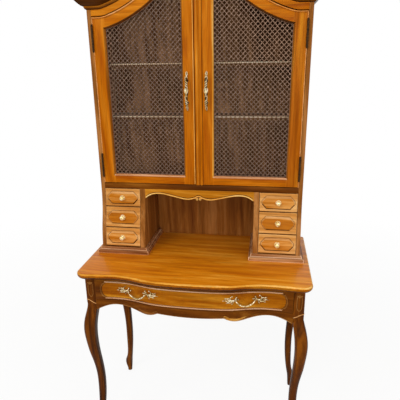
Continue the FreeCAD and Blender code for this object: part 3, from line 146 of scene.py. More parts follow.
def fill(tree, node, **inputs):  # sockets by name, with _ for each space
    for name, value in inputs.items():
        plug(tree, value, node.inputs[name.replace("_", " ")])


def addNode(tree, kind, settings=None, **inputs):
    node = tree.nodes.new(kind)
    for name, value in (settings or {}).items():
        setattr(node, name, value)
    fill(tree, node, **inputs)
    return node


def maths(tree, operation, *values, kind="ShaderNodeMath"):
    node = addNode(tree, kind, {"operation": operation})
    for value, socket in zip(values, node.inputs):
        plug(tree, value, socket)
    return node.outputs[0]


def noise(tree, spot, scale=1, detail=2, **more):
    return addNode(tree, "ShaderNodeTexNoise", Vector=spot, Scale=scale, Detail=detail, **more)


def ranged(tree, value, source, result):  # a value carried from one range to another
    node = addNode(tree, "ShaderNodeMapRange", Value=value, From_Min=source[0], From_Max=source[1],
                   To_Min=result[0], To_Max=result[1])
    return node.outputs["Result"]


def ramp(tree, source, stops):
    node = addNode(tree, "ShaderNodeValToRGB", Fac=source)
    bars = node.color_ramp.elements
    while len(bars) < len(stops):
        bars.new(0.5)
    for bar, (spot, code) in zip(bars, stops):
        bar.position = spot
        bar.color = shade(code)
    return node.outputs["Color"]


def blended(tree, share, first, second):  # two shaders, the second by its share
    node = addNode(tree, "ShaderNodeMixShader", Fac=share)
    tree.links.new(first, node.inputs[1])
    tree.links.new(second, node.inputs[2])
    return node.outputs["Shader"]


# finishes

madeFinishes = {}
warmShine = (1, 0.66, 0.3, 1)  # tint of the highlights on old wax and brass


def newFinish(name):
    finish = bpy.data.materials.new(name)
    finish.use_nodes = True
    madeFinishes[name] = finish
    return finish, finish.node_tree, finish.node_tree.nodes["Principled BSDF"]


grainLook = {
    "figure": (2.2, 22),  # broad clouds: per metre along and across the grain
    "rings": (1.1, 15),
    "pores": (30, 900),
    "streaks": (6, 260),  # fine dark veins
    "clouds": {"cabinet back": (3, 8)},  # where the broad bands are rounder
    "swirl": 0.9,  # how far the rings wander
    "ringShare": 0.05,  # how much they shift the tone
    "toneStops": (0.32, 0.5, 0.68),  # where the dark vein, the body and the pale streak lie
    "poreSpread": (0.3, 0.7),
    "poreTone": (0.8, 1.06),  # how much of the colour is left at a pore, and between pores
    "veinSpread": (0.54, 0.7),
    "veinTone": (1, 0.7),
    "roughness": (0.3, 0.46),
    "bumpDepth": 0.0004,
    "bumpStrength": 0.35,
    "shine": 0.1,
    "polish": {"top": (0.16, 0.14)},  # coat and its roughness, where a surface is polished more
}

woodTones = {  # dark vein, body, pale streak
    "cherry": ("9e4c03", "b86405", "d07e1a"),
    "honey": ("b06c28", "cc8a42", "e2ae6c"),
    "amber": ("984c04", "b86c16", "d8964a"),
    "valance": ("a4600e", "bc7616", "d89838"),
    "drawer": ("843f04", "a45c06", "c4801e"),
    "top": ("c2680c", "dc8210", "ee9e30"),
    "side": ("6e3e14", "8c5420", "ae743c"),
    "rail": ("4c2204", "683406", "885014"),
    "leg": ("341503", "5a2b07", "82460c"),
    "shaded leg side": ("281002", "421e05", "66360c"),
    "niche": ("623414", "844e1e", "9a6432"),
    "inside": ("422a18", "54371f", "6a4a2e"),
    "cabinet back": ("301c10", "563620", "8c6440"),
    "plinth": ("6e3e1e", "945c34", "ba8658"),
    "wornHighlight": ("c08050", "d8a074", "eec4a0"),
    "rubbedHighlight": ("b87840", "cc9050", "e4b47c"),
    "dark cherry": ("8a4204", "a85808", "c27616"),
    "carved": ("8a5014", "b27424", "d8a050"),
    "lip": ("c06a20", "dc8c3c", "f0b070"),
    "tawny leg": ("5e3410", "844c18", "a8763c"),
    "golden highlight": ("cc8420", "e0a040", "f4c878"),
    "bead highlight": ("d89038", "ecb458", "fcd890"),
    "nose highlight": ("cdb48e", "e6d3b0", "f8ecd2"),
    "shadowed": ("2e1503", "482406", "5c300c"),
    "gap shade": ("5e2c02", "783a04", "904c08"),
    "reveal shade": ("6a3808", "8a5014", "a26824"),
}

grainAxes = {"across": 0, "back": 1, "up": 2}
arrisWearAndSheen = {"honey": "rubbedHighlight", "plinth": "wornHighlight"}  # their arrises are rubbed paler: wear, and a painted highlight

patinaAndShade = {  # old wax dark in the hollows, with painted shade there from ambient occlusion; edges rubbed paler, partly wear and partly a painted highlight
    "reach": 0.028,
    "hollows": (0.3, 0.95),  # openness of a place, from deep to bare
    "darkest": 0.3,
    "edge": 0.0024,
    "brows": (0.55, 0.85),
    "rubbedHighlight": {"honey": 0.7, "plinth": 0.8, "side": 0.5, "leg": 0.45},
    "rubbedHighlightElse": 0.4,
}


def woodFinish(tone, grain):
    name = f"{tone} wood, grain {grain}"
    if name in madeFinishes:
        return madeFinishes[name]
    finish, tree, shader = newFinish(name)
    spot = addNode(tree, "ShaderNodeTexCoord").outputs["Object"]

    def stretched(paces):  # drawn out along the grain
        scale = [paces[1]] * 3
        scale[grainAxes[grain]] = paces[0]
        return addNode(tree, "ShaderNodeMapping", Vector=spot, Scale=scale).outputs["Vector"]

    clouds = grainLook["clouds"].get(tone, grainLook["figure"])
    figure = noise(tree, stretched(clouds), detail=4, Roughness=0.62, Distortion=0.9).outputs["Fac"]
    pores = noise(tree, stretched(grainLook["pores"])).outputs["Fac"]
    streaks = noise(tree, stretched(grainLook["streaks"]), detail=3, Distortion=0.4).outputs["Fac"]
    ringSpot = stretched(grainLook["rings"])
    warp = noise(tree, ringSpot).outputs["Color"]
    bent = maths(tree, "MULTIPLY_ADD", warp, [grainLook["swirl"]] * 3, ringSpot,
                 kind="ShaderNodeVectorMath")
    rings = addNode(tree, "ShaderNodeTexWave", {"bands_direction": "DIAGONAL"}, Vector=bent,
                    Scale=1.1, Distortion=1.6, Detail=2).outputs["Fac"]
    shift = ranged(tree, rings, (0, 1), (-grainLook["ringShare"], grainLook["ringShare"]))
    colour = ramp(tree, maths(tree, "ADD", figure, shift),
                  list(zip(grainLook["toneStops"], woodTones[tone])))

    dust = ranged(tree, pores, grainLook["poreSpread"], grainLook["poreTone"])
    veins = ranged(tree, streaks, grainLook["veinSpread"], grainLook["veinTone"])
    # ambient occlusion darkens the hollows: old wax gathered there, and painted shade
    hollow = addNode(tree, "ShaderNodeAmbientOcclusion", {"only_local": True, "samples": 8},
                     Distance=patinaAndShade["reach"]).outputs["AO"]
    shadowAndGrime = ranged(tree, hollow, patinaAndShade["hollows"], (patinaAndShade["darkest"], 1))
    darkness = maths(tree, "MULTIPLY", maths(tree, "MULTIPLY", dust, veins), shadowAndGrime)
    toned = addNode(tree, "ShaderNodeVectorMath", {"operation": "SCALE"}, Vector=colour, Scale=darkness)
    # occlusion inside the wood pales the edges: wear, and a painted highlight
    brow = addNode(tree, "ShaderNodeAmbientOcclusion", {"only_local": True, "inside": True, "samples": 8},
                   Distance=patinaAndShade["edge"]).outputs["AO"]
    rubbedHighlight = ranged(tree, brow, patinaAndShade["brows"], (patinaAndShade["rubbedHighlight"].get(tone, patinaAndShade["rubbedHighlightElse"]), 0))
    finished = addNode(tree, "ShaderNodeMix", {"data_type": "RGBA"}, Factor=rubbedHighlight,
                       A=toned.outputs["Vector"], B=shade(woodTones[arrisWearAndSheen.get(tone, tone)][2]))
    bump = addNode(tree, "ShaderNodeBump", Height=pores, Strength=grainLook["bumpStrength"],
                   Distance=grainLook["bumpDepth"])
    fill(tree, shader, Base_Color=finished.outputs["Result"], Normal=bump.outputs["Normal"],
         Roughness=ranged(tree, figure, (0, 1), grainLook["roughness"]),
         Specular_IOR_Level=grainLook["shine"], Specular_Tint=warmShine)
    if tone in grainLook["polish"]:
        coat, coatRoughness = grainLook["polish"][tone]
        fill(tree, shader, Coat_Weight=coat, Coat_Roughness=coatRoughness)
    return finish


metalShine = 0.3
metalStops = (0.36, 0.5, 0.66)  # where the patina, the body and the rubbed places lie
metalLook = {  # patina in the hollows, body, rubbed places, metallic, roughness, speckle per metre
    "gilt brass": ("8a6428", "dcb86c", "fcf0c8", 0.6, 0.32, 260),
    "knob brass": ("d0b064", "ecd498", "fdf4d4", 0.45, 0.36, 160),
    "chased brass": ("c0a05c", "e6d098", "fff6dc", 0.5, 0.32, 260),
    "pull brass": ("3e2a0c", "c8ac70", "fff6dc", 0.5, 0.33, 260),
    "aged brass": ("140a04", "2e1c0a", "5c4018", 0.4, 0.45, 220),
    "dark bronze": ("160a04", "2a180c", "442a16", 0.1, 0.65, 200),
    "lattice": ("46322a", "725848", "9e8270", 0.2, 0.55, 330),
}


def metalFinish(name):
    if name in madeFinishes:
        return madeFinishes[name]
    *tones, metallic, rough, speckle = metalLook[name]
    finish, tree, shader = newFinish(name)
    spot = addNode(tree, "ShaderNodeTexCoord").outputs["Object"]
    cloud = noise(tree, spot, scale=speckle, detail=3).outputs["Fac"]
    fill(tree, shader, Base_Color=ramp(tree, cloud, list(zip(metalStops, tones))), Metallic=metallic,
         Roughness=rough, Specular_IOR_Level=metalShine, Specular_Tint=warmShine)
    return finish


print("finishes ready")


# reading the solids: where their sharp edges run and where their faces lie

def rims(nodeName, chosen, limit=20):  # runs of a solid's sharp edges, as lists of points
    # chosen gets an edge's middle, its two normals, and whether it lies in a corner
    mesh = cad[nodeName].data
    seats = [tuple(round(c, 5) for c in corner.co) for corner in mesh.vertices]
    sides = {}
    for face in mesh.polygons:
        ring = [seats[i] for i in face.vertices]
        for pair in zip(ring, ring[1:] + ring[:1]):
            sides.setdefault(frozenset(pair), []).append((face.normal.copy(), face.center.copy()))
    links = {}
    for pair, faces in sides.items():
        if len(pair) != 2 or len(faces) != 2:
            continue
        (normal, centre), (other, beyond) = faces
        if normal.angle(other, 0) < math.radians(limit):
            continue
        first, last = sorted(pair)
        inward = (beyond - centre).dot(normal) > 0
        if chosen((Vector(first) + Vector(last)) / 2, (normal, other), inward):
            links.setdefault(first, []).append(last)
            links.setdefault(last, []).append(first)
    runs = []
    while any(links.values()):
        left = [spot for spot, near in links.items() if near]
        start = next((spot for spot in left if len(links[spot]) == 1), left[0])
        run = [start]
        while links[run[-1]]:
            onward = links[run[-1]].pop()
            links[onward].remove(run[-1])
            run.append(onward)
        if run[0] > run[-1]:
            run.reverse()
        runs.append([Vector(spot) for spot in run])
    return runs


def evened(run, gap):  # the same line with its points about a gap apart
    marks = [0]
    for here, there in zip(run, run[1:]):
        marks.append(marks[-1] + (there - here).length)
    count = max(2, round(marks[-1] / gap))
    spots = []
    index = 0
    for step in range(count + 1):
        goal = marks[-1] * step / count
        while index < len(run) - 2 and marks[index + 1] < goal:
            index += 1
        span = marks[index + 1] - marks[index]
        spots.append(run[index].lerp(run[index + 1], (goal - marks[index]) / span if span else 0))
    return spots


rayTrees = {}
wellBefore = -2  # y of a place in front of the whole desk


def treeOf(nodeName):
    if nodeName not in rayTrees:
        mesh = cad[nodeName].data
        rayTrees[nodeName] = BVHTree.FromPolygons([v.co for v in mesh.vertices],
                                                  [list(f.vertices) for f in mesh.polygons])
    return rayTrees[nodeName]


def hit(nodeName, start, heading):  # first point of a solid that a straight line meets
    return treeOf(nodeName).ray_cast(Vector(start), Vector(heading).normalized())[0]


def onFront(nodeName, x, z, lift=0.0):  # the point of its front at x and z, brought forward
    spot = hit(nodeName, (x, wellBefore, z), (0, 1, 0))
    return Vector((x, spot.y - lift, z)) if spot else None


# every wooden solid gets softened arrises and its wood

softening = {  # metres, and degrees between two faces
    "merge": 0.00002,
    "flatWithin": 0.6,
    "roundedFrom": 28,
    "smoothWithin": 32,
    "touching": 0.0001,
    "arris": 0.001,
    "arrises": {"plinth_left": 0.0024, "plinth_right": 0.0024, "niche_valance": 0.0016,
                "long_drawer_front": 0.0008},
}


def softened(nodeName, finishes, flush=()):
    source = cad[nodeName]
    piece = source.copy()
    piece.data = source.data.copy()
    piece.name = nodeName + ".soft"
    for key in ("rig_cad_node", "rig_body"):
        if key in piece:
            del piece[key]
    bpy.context.scene.collection.objects.link(piece)
    piece.parent = None
    editWhole(piece)
    bpy.ops.mesh.remove_doubles(threshold=softening["merge"])
    bpy.ops.mesh.dissolve_limited(angle_limit=math.radians(softening["flatWithin"]))
    bpy.ops.object.mode_set(mode="OBJECT")
    if piece.data.has_custom_normals:
        bpy.ops.mesh.customdata_custom_splitnormals_clear()
    settle(piece, bodyOf(nodeName), finishes)
    mesh = piece.data
    sides = {}
    for face in mesh.polygons:
        for key in face.edge_keys:
            sides.setdefault(key, []).append(face.normal)
    rounds = mesh.attributes.new("bevel_weight_edge", "FLOAT", "EDGE")
    sharp = math.radians(softening["roundedFrom"])
    for edge in mesh.edges:
        normals = sides.get(edge.key, [])
        if len(normals) != 2 or normals[0].angle(normals[1], 0) < sharp:
            continue
        middle = (mesh.vertices[edge.vertices[0]].co + mesh.vertices[edge.vertices[1]].co) / 2
        joint = any(treeOf(other).find_nearest(middle, softening["touching"])[0] for other in flush)
        rounds.data[edge.index].value = 0 if joint else 1  # flush joints stay closed
    bevel = piece.modifiers.new("arris", "BEVEL")
    bevel.width = softening["arrises"].get(nodeName, softening["arris"])
    bevel.segments = 2
    bevel.limit_method = "WEIGHT"
    # the rounded arrises take the last finish, a paler one for honey and plinth: wear, and a painted
    # highlight
    bevel.material = len(finishes) - 1
    only(piece)
    bpy.ops.object.modifier_apply(modifier="arris")
    bpy.ops.object.shade_smooth_by_angle(angle=math.radians(softening["smoothWithin"]))
    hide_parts(nodeName)
    return piece


woodPlan = {  # solid: wood tone, way the grain runs
    "desk_top": ("top", "across"),
    "apron_front": ("rail", "across"), "apron_back": ("rail", "across"),
    "apron_left": ("rail", "back"), "apron_right": ("rail", "back"),
    "drawer_runners": ("inside", "back"),
    "long_drawer_front": ("drawer", "across"), "long_drawer_box": ("inside", "across"),
    "side_left": ("side", "up"), "side_right": ("side", "up"),
    "partition_left": ("side", "up"), "partition_right": ("side", "up"),
    "cabinet_floor": ("rail", "across"), "back_panel": ("niche", "up"),
    "arched_header": ("cherry", "across"), "bonnet_top": ("inside", "across"),
    "cornice": ("rail", "across"), "shelves": ("inside", "across"),
    "niche_valance": ("valance", "across"), "dust_boards": ("rail", "across"),
    "plinth_left": ("plinth", "across"), "plinth_right": ("plinth", "across"),
    "astragal": ("cherry", "up"),
}
legNames = [f"leg_{end}_{side}" for end in ("front", "rear") for side in ("left", "right")]
for legName in legNames:
    woodPlan[legName] = ("leg", "up")
flushWith = {"niche_valance": ("partition_left", "partition_right", "cabinet_floor"),
             "cabinet_floor": ("side_left", "side_right")}
for side, sign in bothSides:
    stiles, rails = f"door_{side}_stiles", f"door_{side}_rails"
    woodPlan[stiles] = ("cherry", "up")
    woodPlan[rails] = ("cherry", "across")
    flushWith[stiles] = (rails,)
    flushWith[rails] = (stiles,)
    for row in drawerRows:
        woodPlan[f"drawer_{side}_{row}_front"] = ("honey", "across")
        woodPlan[f"drawer_{side}_{row}_tray"] = ("inside", "across")

pieces = {}
for nodeName, (tone, grain) in woodPlan.items():
    woods = [woodFinish(tone, grain)]
    if tone in arrisWearAndSheen:
        woods.append(woodFinish(arrisWearAndSheen[tone], grain))
    pieces[nodeName] = softened(nodeName, woods, flushWith.get(nodeName, ()))
print("solids softened:", len(pieces))


# parts of a solid that have another tone, many of them painted highlights and painted shade chosen by the way
# a face looks: a normal's y is near -1 on a front, its z near 1 on a top

def retone(nodeName, tone, chosen, corners=False):  # faces chosen by their place and normal
    piece = pieces[nodeName]
    finish = woodFinish(tone, woodPlan[nodeName][1])
    if finish.name not in piece.data.materials:
        piece.data.materials.append(finish)
    slot = piece.data.materials.find(finish.name)
    for face in piece.data.polygons:
        spots = [piece.data.vertices[i].co for i in face.vertices] if corners else [face.center]
        if any(chosen(spot, face.normal) for spot in spots):
            face.material_index = slot


toneLimits = {  # metres: where one tone ends and the next begins
    "cabinetFloor": 1.041,
    "frontFace": 0.024,  # y of the doors, the header and the cabinet's sides
    "bevelDepth": 0.0055,  # round the door openings
    "bevelInset": 0.003,
    "meetingStile": 0.1,
    "outerStile": 0.2,
    "doorArch": 1.5,
    "doorSill": 1.2,
    "topUnder": 0.740,
    "noseDark": 0.009,  # above the top's underside
    "noseBand": 0.0165,
}

cutLevel(pieces["back_panel"], toneLimits["cabinetFloor"])
retone("back_panel", "cabinet back", lambda spot, normal: spot.z > toneLimits["cabinetFloor"])
retone("back_panel", "inside", lambda spot, normal: normal.y > -0.5)


def onBevel(spot, normal):  # the sloping rim round a door's opening
    depth = spot.y - toneLimits["frontFace"]
    return 0 < depth < toneLimits["bevelDepth"] and -0.95 < normal.y < -0.3


for side, sign in bothSides:
    retone("side_" + side, "inside",
           lambda spot, normal: normal.x * sign < -0.9 and spot.z > toneLimits["cabinetFloor"])
    for part in ("stiles", "rails"):
        nodeName = f"door_{side}_{part}"
        reach = [abs(v.co.x) for v in pieces[nodeName].data.vertices]
        near, far = min(reach) + toneLimits["bevelInset"], max(reach) - toneLimits["bevelInset"]

        def onOpening(spot, normal):
            return onBevel(spot, normal) and near < abs(spot.x) < far

        def onMeetingStile(spot, normal):  # the right door's, which catches the light
            return onOpening(spot, normal) and 0 < spot.x < toneLimits["meetingStile"] and abs(normal.x) > 0.3

        def onArch(spot, normal):
            return onOpening(spot, normal) and spot.z > toneLimits["doorArch"]

        def onSill(spot, normal):
            return onOpening(spot, normal) and normal.z > 0.4 and spot.z < toneLimits["doorSill"]

        # the opening's bevels are toned by the way they face: the sides darker and the arch darkest as
        # painted shade, the sill and the right door's meeting stile paler as painted highlights
        for tone, chosen in (("reveal shade", onOpening), ("golden highlight", onMeetingStile), ("shadowed", onArch),
                             ("wornHighlight", onSill)):
            retone(nodeName, tone, chosen)

retone("door_right_stiles", "dark cherry",
       lambda spot, normal: spot.x > toneLimits["outerStile"] and normal.y < -0.95)
# faces of the cornice that look forward and up are painted lighter as a highlight, those that look down
# painted shade
retone("cornice", "cherry", lambda spot, normal: normal.z > -0.25 and normal.y < -0.3)
retone("cornice", "shadowed", lambda spot, normal: normal.z < -0.6)


def overUnder(spot):  # height above the underside of the writing top
    return spot.z - toneLimits["topUnder"]


# the front edge of the writing top: its lower part painted dark as shade, a middle band above it, and its
# upper nose painted golden as a highlight
retone("desk_top", "leg",
       lambda spot, normal: overUnder(spot) < toneLimits["noseDark"] and normal.z < 0.2)
retone("desk_top", "drawer",
       lambda spot, normal: toneLimits["noseDark"] <= overUnder(spot) < toneLimits["noseBand"]
       and normal.z < 0.3)
retone("desk_top", "golden highlight",
       lambda spot, normal: overUnder(spot) > toneLimits["noseBand"] and 0.3 < normal.z < 0.93)
# the legs' side faces are painted darker as shade
for legName in legNames:
    retone(legName, "shaded leg side", lambda spot, normal: abs(normal.x) > 0.75)

metalPlan = {"gilt brass": ("pull", "shelf_pins"), "knob brass": ("knob",), "aged brass": ("handle",),
             "lattice": ("grille",), "dark bronze": ("hinge", "catches")}


def finishFor(nodeName):
    if nodeName in pieces:
        return pieces[nodeName].data.materials[0]
    for metal, words in metalPlan.items():
        if any(word in nodeName for word in words):
            return metalFinish(metal)
    return metalFinish("dark bronze")  # any other fitting


for nodeName in cad:
    cad[nodeName].data.materials.clear()
    cad[nodeName].data.materials.append(finishFor(nodeName))
print("colours laid on")


# beads, leaves and castings are round strokes that swell and taper along a line

def curved(spots, steps=5, closed=False):  # a smooth line through a few points
    spots = [Vector(s) for s in spots]
    count = len(spots)
    smooth = []
    for i in range(count if closed else count - 1):
        if closed:
            a, b, c, d = (spots[(i + k) % count] for k in (-1, 0, 1, 2))
        else:
            a, b, c, d = spots[max(i - 1, 0)], spots[i], spots[i + 1], spots[min(i + 2, count - 1)]
        for step in range(steps):
            t = step / steps
            smooth.append(0.5 * (2 * b + (c - a) * t + (2 * a - 5 * b + 4 * c - d) * t * t
                                 + (3 * b - a - 3 * c + d) * t * t * t))
    return smooth if closed else smooth + [spots[-1]]


def even(radius):
    return lambda t: radius


def leafy(radius, tip=0.12):  # slim at the stem, full past the middle, fine at the tip
    return lambda t: radius * max(tip, math.sin(math.pi * min(1, 0.18 + 0.82 * t)) ** 0.8)


strokeMesh = {"merge": 0.000005, "smoothWithin": 50}  # metres, and degrees between two faces


def strokes(name, body, finish, lines, roundness=2):  # each line: points, thickness, closed
    if not lines:
        return None
    bpy.ops.object.select_all(action="DESELECT")
    bpy.ops.curve.primitive_bezier_curve_add()
    piece = bpy.context.object
    piece.name = name
    drawn = piece.data
    drawn.splines.clear()
    drawn.dimensions = "3D"
    drawn.bevel_depth = 1
    drawn.bevel_resolution = roundness
    drawn.use_fill_caps = True
    for spots, thickness, closed in lines:
        line = drawn.splines.new("POLY")
        line.points.add(len(spots) - 1)
        for index, (dot, spot) in enumerate(zip(line.points, spots)):
            dot.co = (*spot, 1)
            dot.radius = thickness(index / (len(spots) - 1))
        line.use_cyclic_u = closed
    only(piece)
    bpy.ops.object.convert(target="MESH")
    piece = bpy.context.object
    editWhole(piece)
    bpy.ops.mesh.remove_doubles(threshold=strokeMesh["merge"])
    bpy.ops.mesh.normals_make_consistent(inside=False)
    bpy.ops.object.mode_set(mode="OBJECT")
    bpy.ops.object.shade_smooth_by_angle(angle=math.radians(strokeMesh["smoothWithin"]))
    return settle(piece, body, [finish])


def heightAt(run, x):  # height of a line that runs across the front
    for here, there in zip(run, run[1:]):
        if min(here.x, there.x) <= x <= max(here.x, there.x) and here.x != there.x:
            return here.z + (there.z - here.z) * (x - here.x) / (there.x - here.x)
    return run[0].z if abs(x - run[0].x) < abs(x - run[-1].x) else run[-1].z


def onto(nodeName, dots, lift=0):  # points at x and z in millimetres, and their own lift if given
    spots = []
    for x, z, *own in dots:
        out = own[0] if own else lift
        spots.append(onFront(nodeName, x / 1000, z / 1000, out / 1000))
    return [spot for spot in spots if spot]


lineSunk = 0.4  # share of a thin line's radius that lies in the wood
edgeBeads = {  # millimetres: bead radius, up from the edge, lift; dark line radius and height
    "niche_valance": (2.5, 1.9, 0.5, 1.3, 6.0),
    "apron_front": (1.8, 2.2, -0.2, 0.9, 5.4),
}


def edgeBead(nodeName, below, tone):  # a bead and a dark line of painted shade along a board's lower front edge
    def lowFront(spot, normals, inward):
        return spot.z < below and any(n.y < -0.7 for n in normals) and any(n.z < -0.15 for n in normals)

    radius, up, lift, lineRadius, lineUp = edgeBeads[nodeName]
    edge = max(rims(nodeName, lowFront), key=lambda run: run[-1].x - run[0].x)
    flat = [(spot.x * 1000, spot.z * 1000) for spot in evened(edge, gap=0.006)[1:-1]]
    bead = onto(nodeName, [(x, z + up) for x, z in flat], lift)
    line = onto(nodeName, [(x, z + lineUp) for x, z in flat], -lineRadius * lineSunk)
    strokes(nodeName + "_bead", root, woodFinish(tone, "across"), [(bead, even(radius / 1000), False)])
    strokes(nodeName + "_line", root, woodFinish("shadowed", "across"),
            [(line, even(lineRadius / 1000), False)])
    return edge


# the valance's bead and its curls are painted pale as a highlight
valanceEdge = edgeBead("niche_valance", below=1.015, tone="bead highlight")
apronEdge = edgeBead("apron_front", below=0.66, tone="tawny leg")

valanceCurls = {  # millimetres from the valance's middle
    "radius": 2.0,
    "lift": 0.4,
    "edgeAt": 12,  # where the height of the lower edge is read
    "faceAt": (20, 999),  # where the depth of the face is read
    "aboveEdge": 2,
    "left": [(-20, -2.0), (-12, -3.6), (-5.5, -2.6), (-2.8, -6.4), (-6.2, -9.6), (-9.6, -7.0)],
}
curlHeight = heightAt(valanceEdge, valanceCurls["edgeAt"] / 1000) * 1000 + valanceCurls["aboveEdge"]
curlDepth = onto("niche_valance", [valanceCurls["faceAt"]], valanceCurls["lift"])[0].y
curls = []
for side, sign in reversed(bothSides):
    spots = [Vector((x * sign / 1000, curlDepth, (curlHeight + z) / 1000)) for x, z in valanceCurls["left"]]
    curls.append((curved(spots), even(valanceCurls["radius"] / 1000), False))
strokes("valance_curls", root, woodFinish("bead highlight", "across"), curls)

apronCarving = {  # millimetres: radius, lift, and points across from the middle and up from the edge
    "leaves": (
        (5.2, -2.6, [(124, 2.5), (132, 5), (148, 6.5), (166, 7), (184, 8), (200, 10), (216, 11)]),
        (1.6, 0.9, [(130, 1.8), (146, 3), (164, 3.2), (182, 4.4)]),
        (2.2, 0.6, [(121, 6), (124, 10), (131, 11.5), (140, 10.5)]),
    ),
    "trail": (1.1, 0.2, [(216, 11), (240, 13), (270, 16), (300, 20)]),
    "tones": {"left": "tawny leg", "right": "carved"},
}


def apronStroke(sign, radius, lift, dots):
    seats = [(x * sign, heightAt(apronEdge, x * sign / 1000) * 1000 + up) for x, up in dots]
    return curved(onto("apron_front", seats, lift)), leafy(radius / 1000, tip=0.3), False


for side, sign in bothSides:
    strokes("apron_leaves_" + side, root, woodFinish(apronCarving["tones"][side], "across"),
            [apronStroke(sign, *leaf) for leaf in apronCarving["leaves"]])
strokes("apron_trails", root, woodFinish("shadowed", "across"),
        [apronStroke(sign, *apronCarving["trail"]) for side, sign in bothSides])
print("valance and apron carved")


# drawer fronts: fields and frames stand out against a dark line of painted shade in their corners, with
# painted highlights on what faces up and painted shade on what faces down

cornerShadeLine = {  # metres
    "radius": 0.0010,
    "sunk": 0.0002,
    "gap": {"long_drawer_front": 0.006},  # between its points
    "gapElse": 0.004,
    "closedWithin": 0.0001,
}


# dark lines of painted shade along a drawer front's inner corners
def cornerShade(nodeName):
    def frontCorner(spot, normals, inward):
        return inward and all(n.y < -0.2 or abs(n.y) < 0.45 for n in normals) \
            and any(n.y < -0.85 for n in normals)

    lines = []
    inward = Vector((0, cornerShadeLine["sunk"], 0))
    for run in rims(nodeName, frontCorner):
        closed = (run[0] - run[-1]).length < cornerShadeLine["closedWithin"]
        spots = evened(run, cornerShadeLine["gap"].get(nodeName, cornerShadeLine["gapElse"]))
        if closed:
            spots = spots[:-1]
        if len(spots) > 3:
            lines.append(([spot + inward for spot in spots], even(cornerShadeLine["radius"]), closed))
    strokes(nodeName + "_glaze", bodyOf(nodeName), woodFinish("shadowed", "across"), lines, roundness=1)


smallDrawer = {  # metres from a drawer front's middle
    "field": (0.058, 0.0205),  # half the width and height of the raised field
    "pale": (0.052, 0.0165),  # half the width of its upper strip painted pale as a highlight, and where that starts
    "fieldShade": (0.0026, 0.0020),  # radius and how deep its middle lies behind the edge
    "footShade": (0.0016, 0.0009),
}


def underShade(nodeName):  # painted shade under the field and along the lower edge
    def fieldFoot(spot, normals, inward):
        return inward and any(n.z < -0.25 for n in normals) and any(n.y < -0.85 for n in normals)

    def drawerFoot(spot, normals, inward):
        return not inward and any(n.z < -0.9 for n in normals) and any(n.y < -0.85 for n in normals)

    lines = []
    for name, chosen in (("fieldShade", fieldFoot), ("footShade", drawerFoot)):
        radius, sunk = smallDrawer[name]
        thickness = leafy(radius, tip=0.5) if name == "fieldShade" else even(radius)
        for run in rims(nodeName, chosen):
            spots = [s + Vector((0, sunk, 0)) for s in evened(run, gap=0.004)]
            lines.append((spots, thickness, False))
    strokes(nodeName + "_shade", bodyOf(nodeName), woodFinish("shadowed", "across"), lines, roundness=1)


for side, sign in bothSides:
    for row in drawerRows:
        nodeName = f"drawer_{side}_{row}_front"
        cornerShade(nodeName)
        middle = middleOf(nodeName)
        halfWidth, halfHeight = smallDrawer["field"]
        paleWidth, paleFrom = smallDrawer["pale"]

        def onField(spot, normal, width=halfWidth):
            return normal.y < -0.88 and abs(spot.x - middle.x) < width \
                and abs(spot.z - middle.z) < halfHeight

        retone(nodeName, "amber", onField)
        # the field's upper strip and the bevels that face up are painted paler as highlights; bevels that
        # face down are painted shade
        cutLevel(pieces[nodeName], middle.z + paleFrom)
        retone(nodeName, "rubbedHighlight",
               lambda spot, normal: onField(spot, normal, paleWidth) and spot.z - middle.z > paleFrom)
        retone(nodeName, "rubbedHighlight", lambda spot, normal: normal.z > 0.35 and normal.y < -0.3)
        retone(nodeName, "shadowed", lambda spot, normal: normal.z < -0.35 and normal.y > -0.88)
        underShade(nodeName)
print("small drawers toned")

longFace = "long_drawer_front"
longFrame = {  # metres: the raised frame on that bowed front
    "bareAt": 0.6475,  # a height below the frame, where the face is bare
    "reach": 0.355,  # furthest out that the face is read
    "heights": (0.648, 0.7225),  # its foot and head
    "end": 0.352,
    "rise": 0.0006,  # what stands out this far belongs to it
    "inside": (0.6495, 0.7205),  # heights between which only the frame's ends close it
    "endsFrom": 0.3,
    "endRise": 0.0014,
    "shadedEndsFrom": 0.322,
    "bareEnds": 0.353,
    "step": 0.001,
}
cornerShade(longFace)


def proud(x, z, y=None):  # how far its front stands out from the bare face there
    x = max(-longFrame["reach"], min(longFrame["reach"], x))
    y = onFront(longFace, x, z).y if y is None else y
    return onFront(longFace, x, longFrame["bareAt"]).y - y


def onFrame(spot, normal):
    foot, head = longFrame["heights"]
    return foot < spot.z < head and abs(spot.x) < longFrame["end"] \
        and proud(spot.x, spot.z, spot.y) > longFrame["rise"]


def outside(spot, normal):  # no frame between the place and the drawer's end
    if normal.y > -0.5 or onFrame(spot, normal):
        return False
    foot, head = longFrame["inside"]
    if not foot < spot.z < head:
        return True
    side = 1 if spot.x > 0 else -1
    start = max(abs(spot.x), longFrame["endsFrom"])
    count = int((longFrame["end"] - start) / longFrame["step"])
    steps = [start + longFrame["step"] * step for step in range(count)]
    return all(proud(side * x, spot.z) < longFrame["endRise"] for x in steps)


# painted shade: the ground outside the frame, in the overhang's shadow and at its ends, is darker; the frame
# is painted pale as a highlight, and darker again as shade at its ends and on its under-slopes
retone(longFace, "rail", outside)
retone(longFace, "rail", lambda spot, normal: abs(spot.x) > longFrame["bareEnds"] and normal.y < -0.5,
       corners=True)
retone(longFace, "wornHighlight", onFrame)
retone(longFace, "tawny leg",
       lambda spot, normal: onFrame(spot, normal)
       and (abs(spot.x) > longFrame["shadedEndsFrom"] or normal.z < -0.3))
print("long drawer toned")


# front legs: collars painted pale as highlights, panels on the posts and a bead down the inner corner, with
# dark lines of painted shade beside that bead and inside the panels

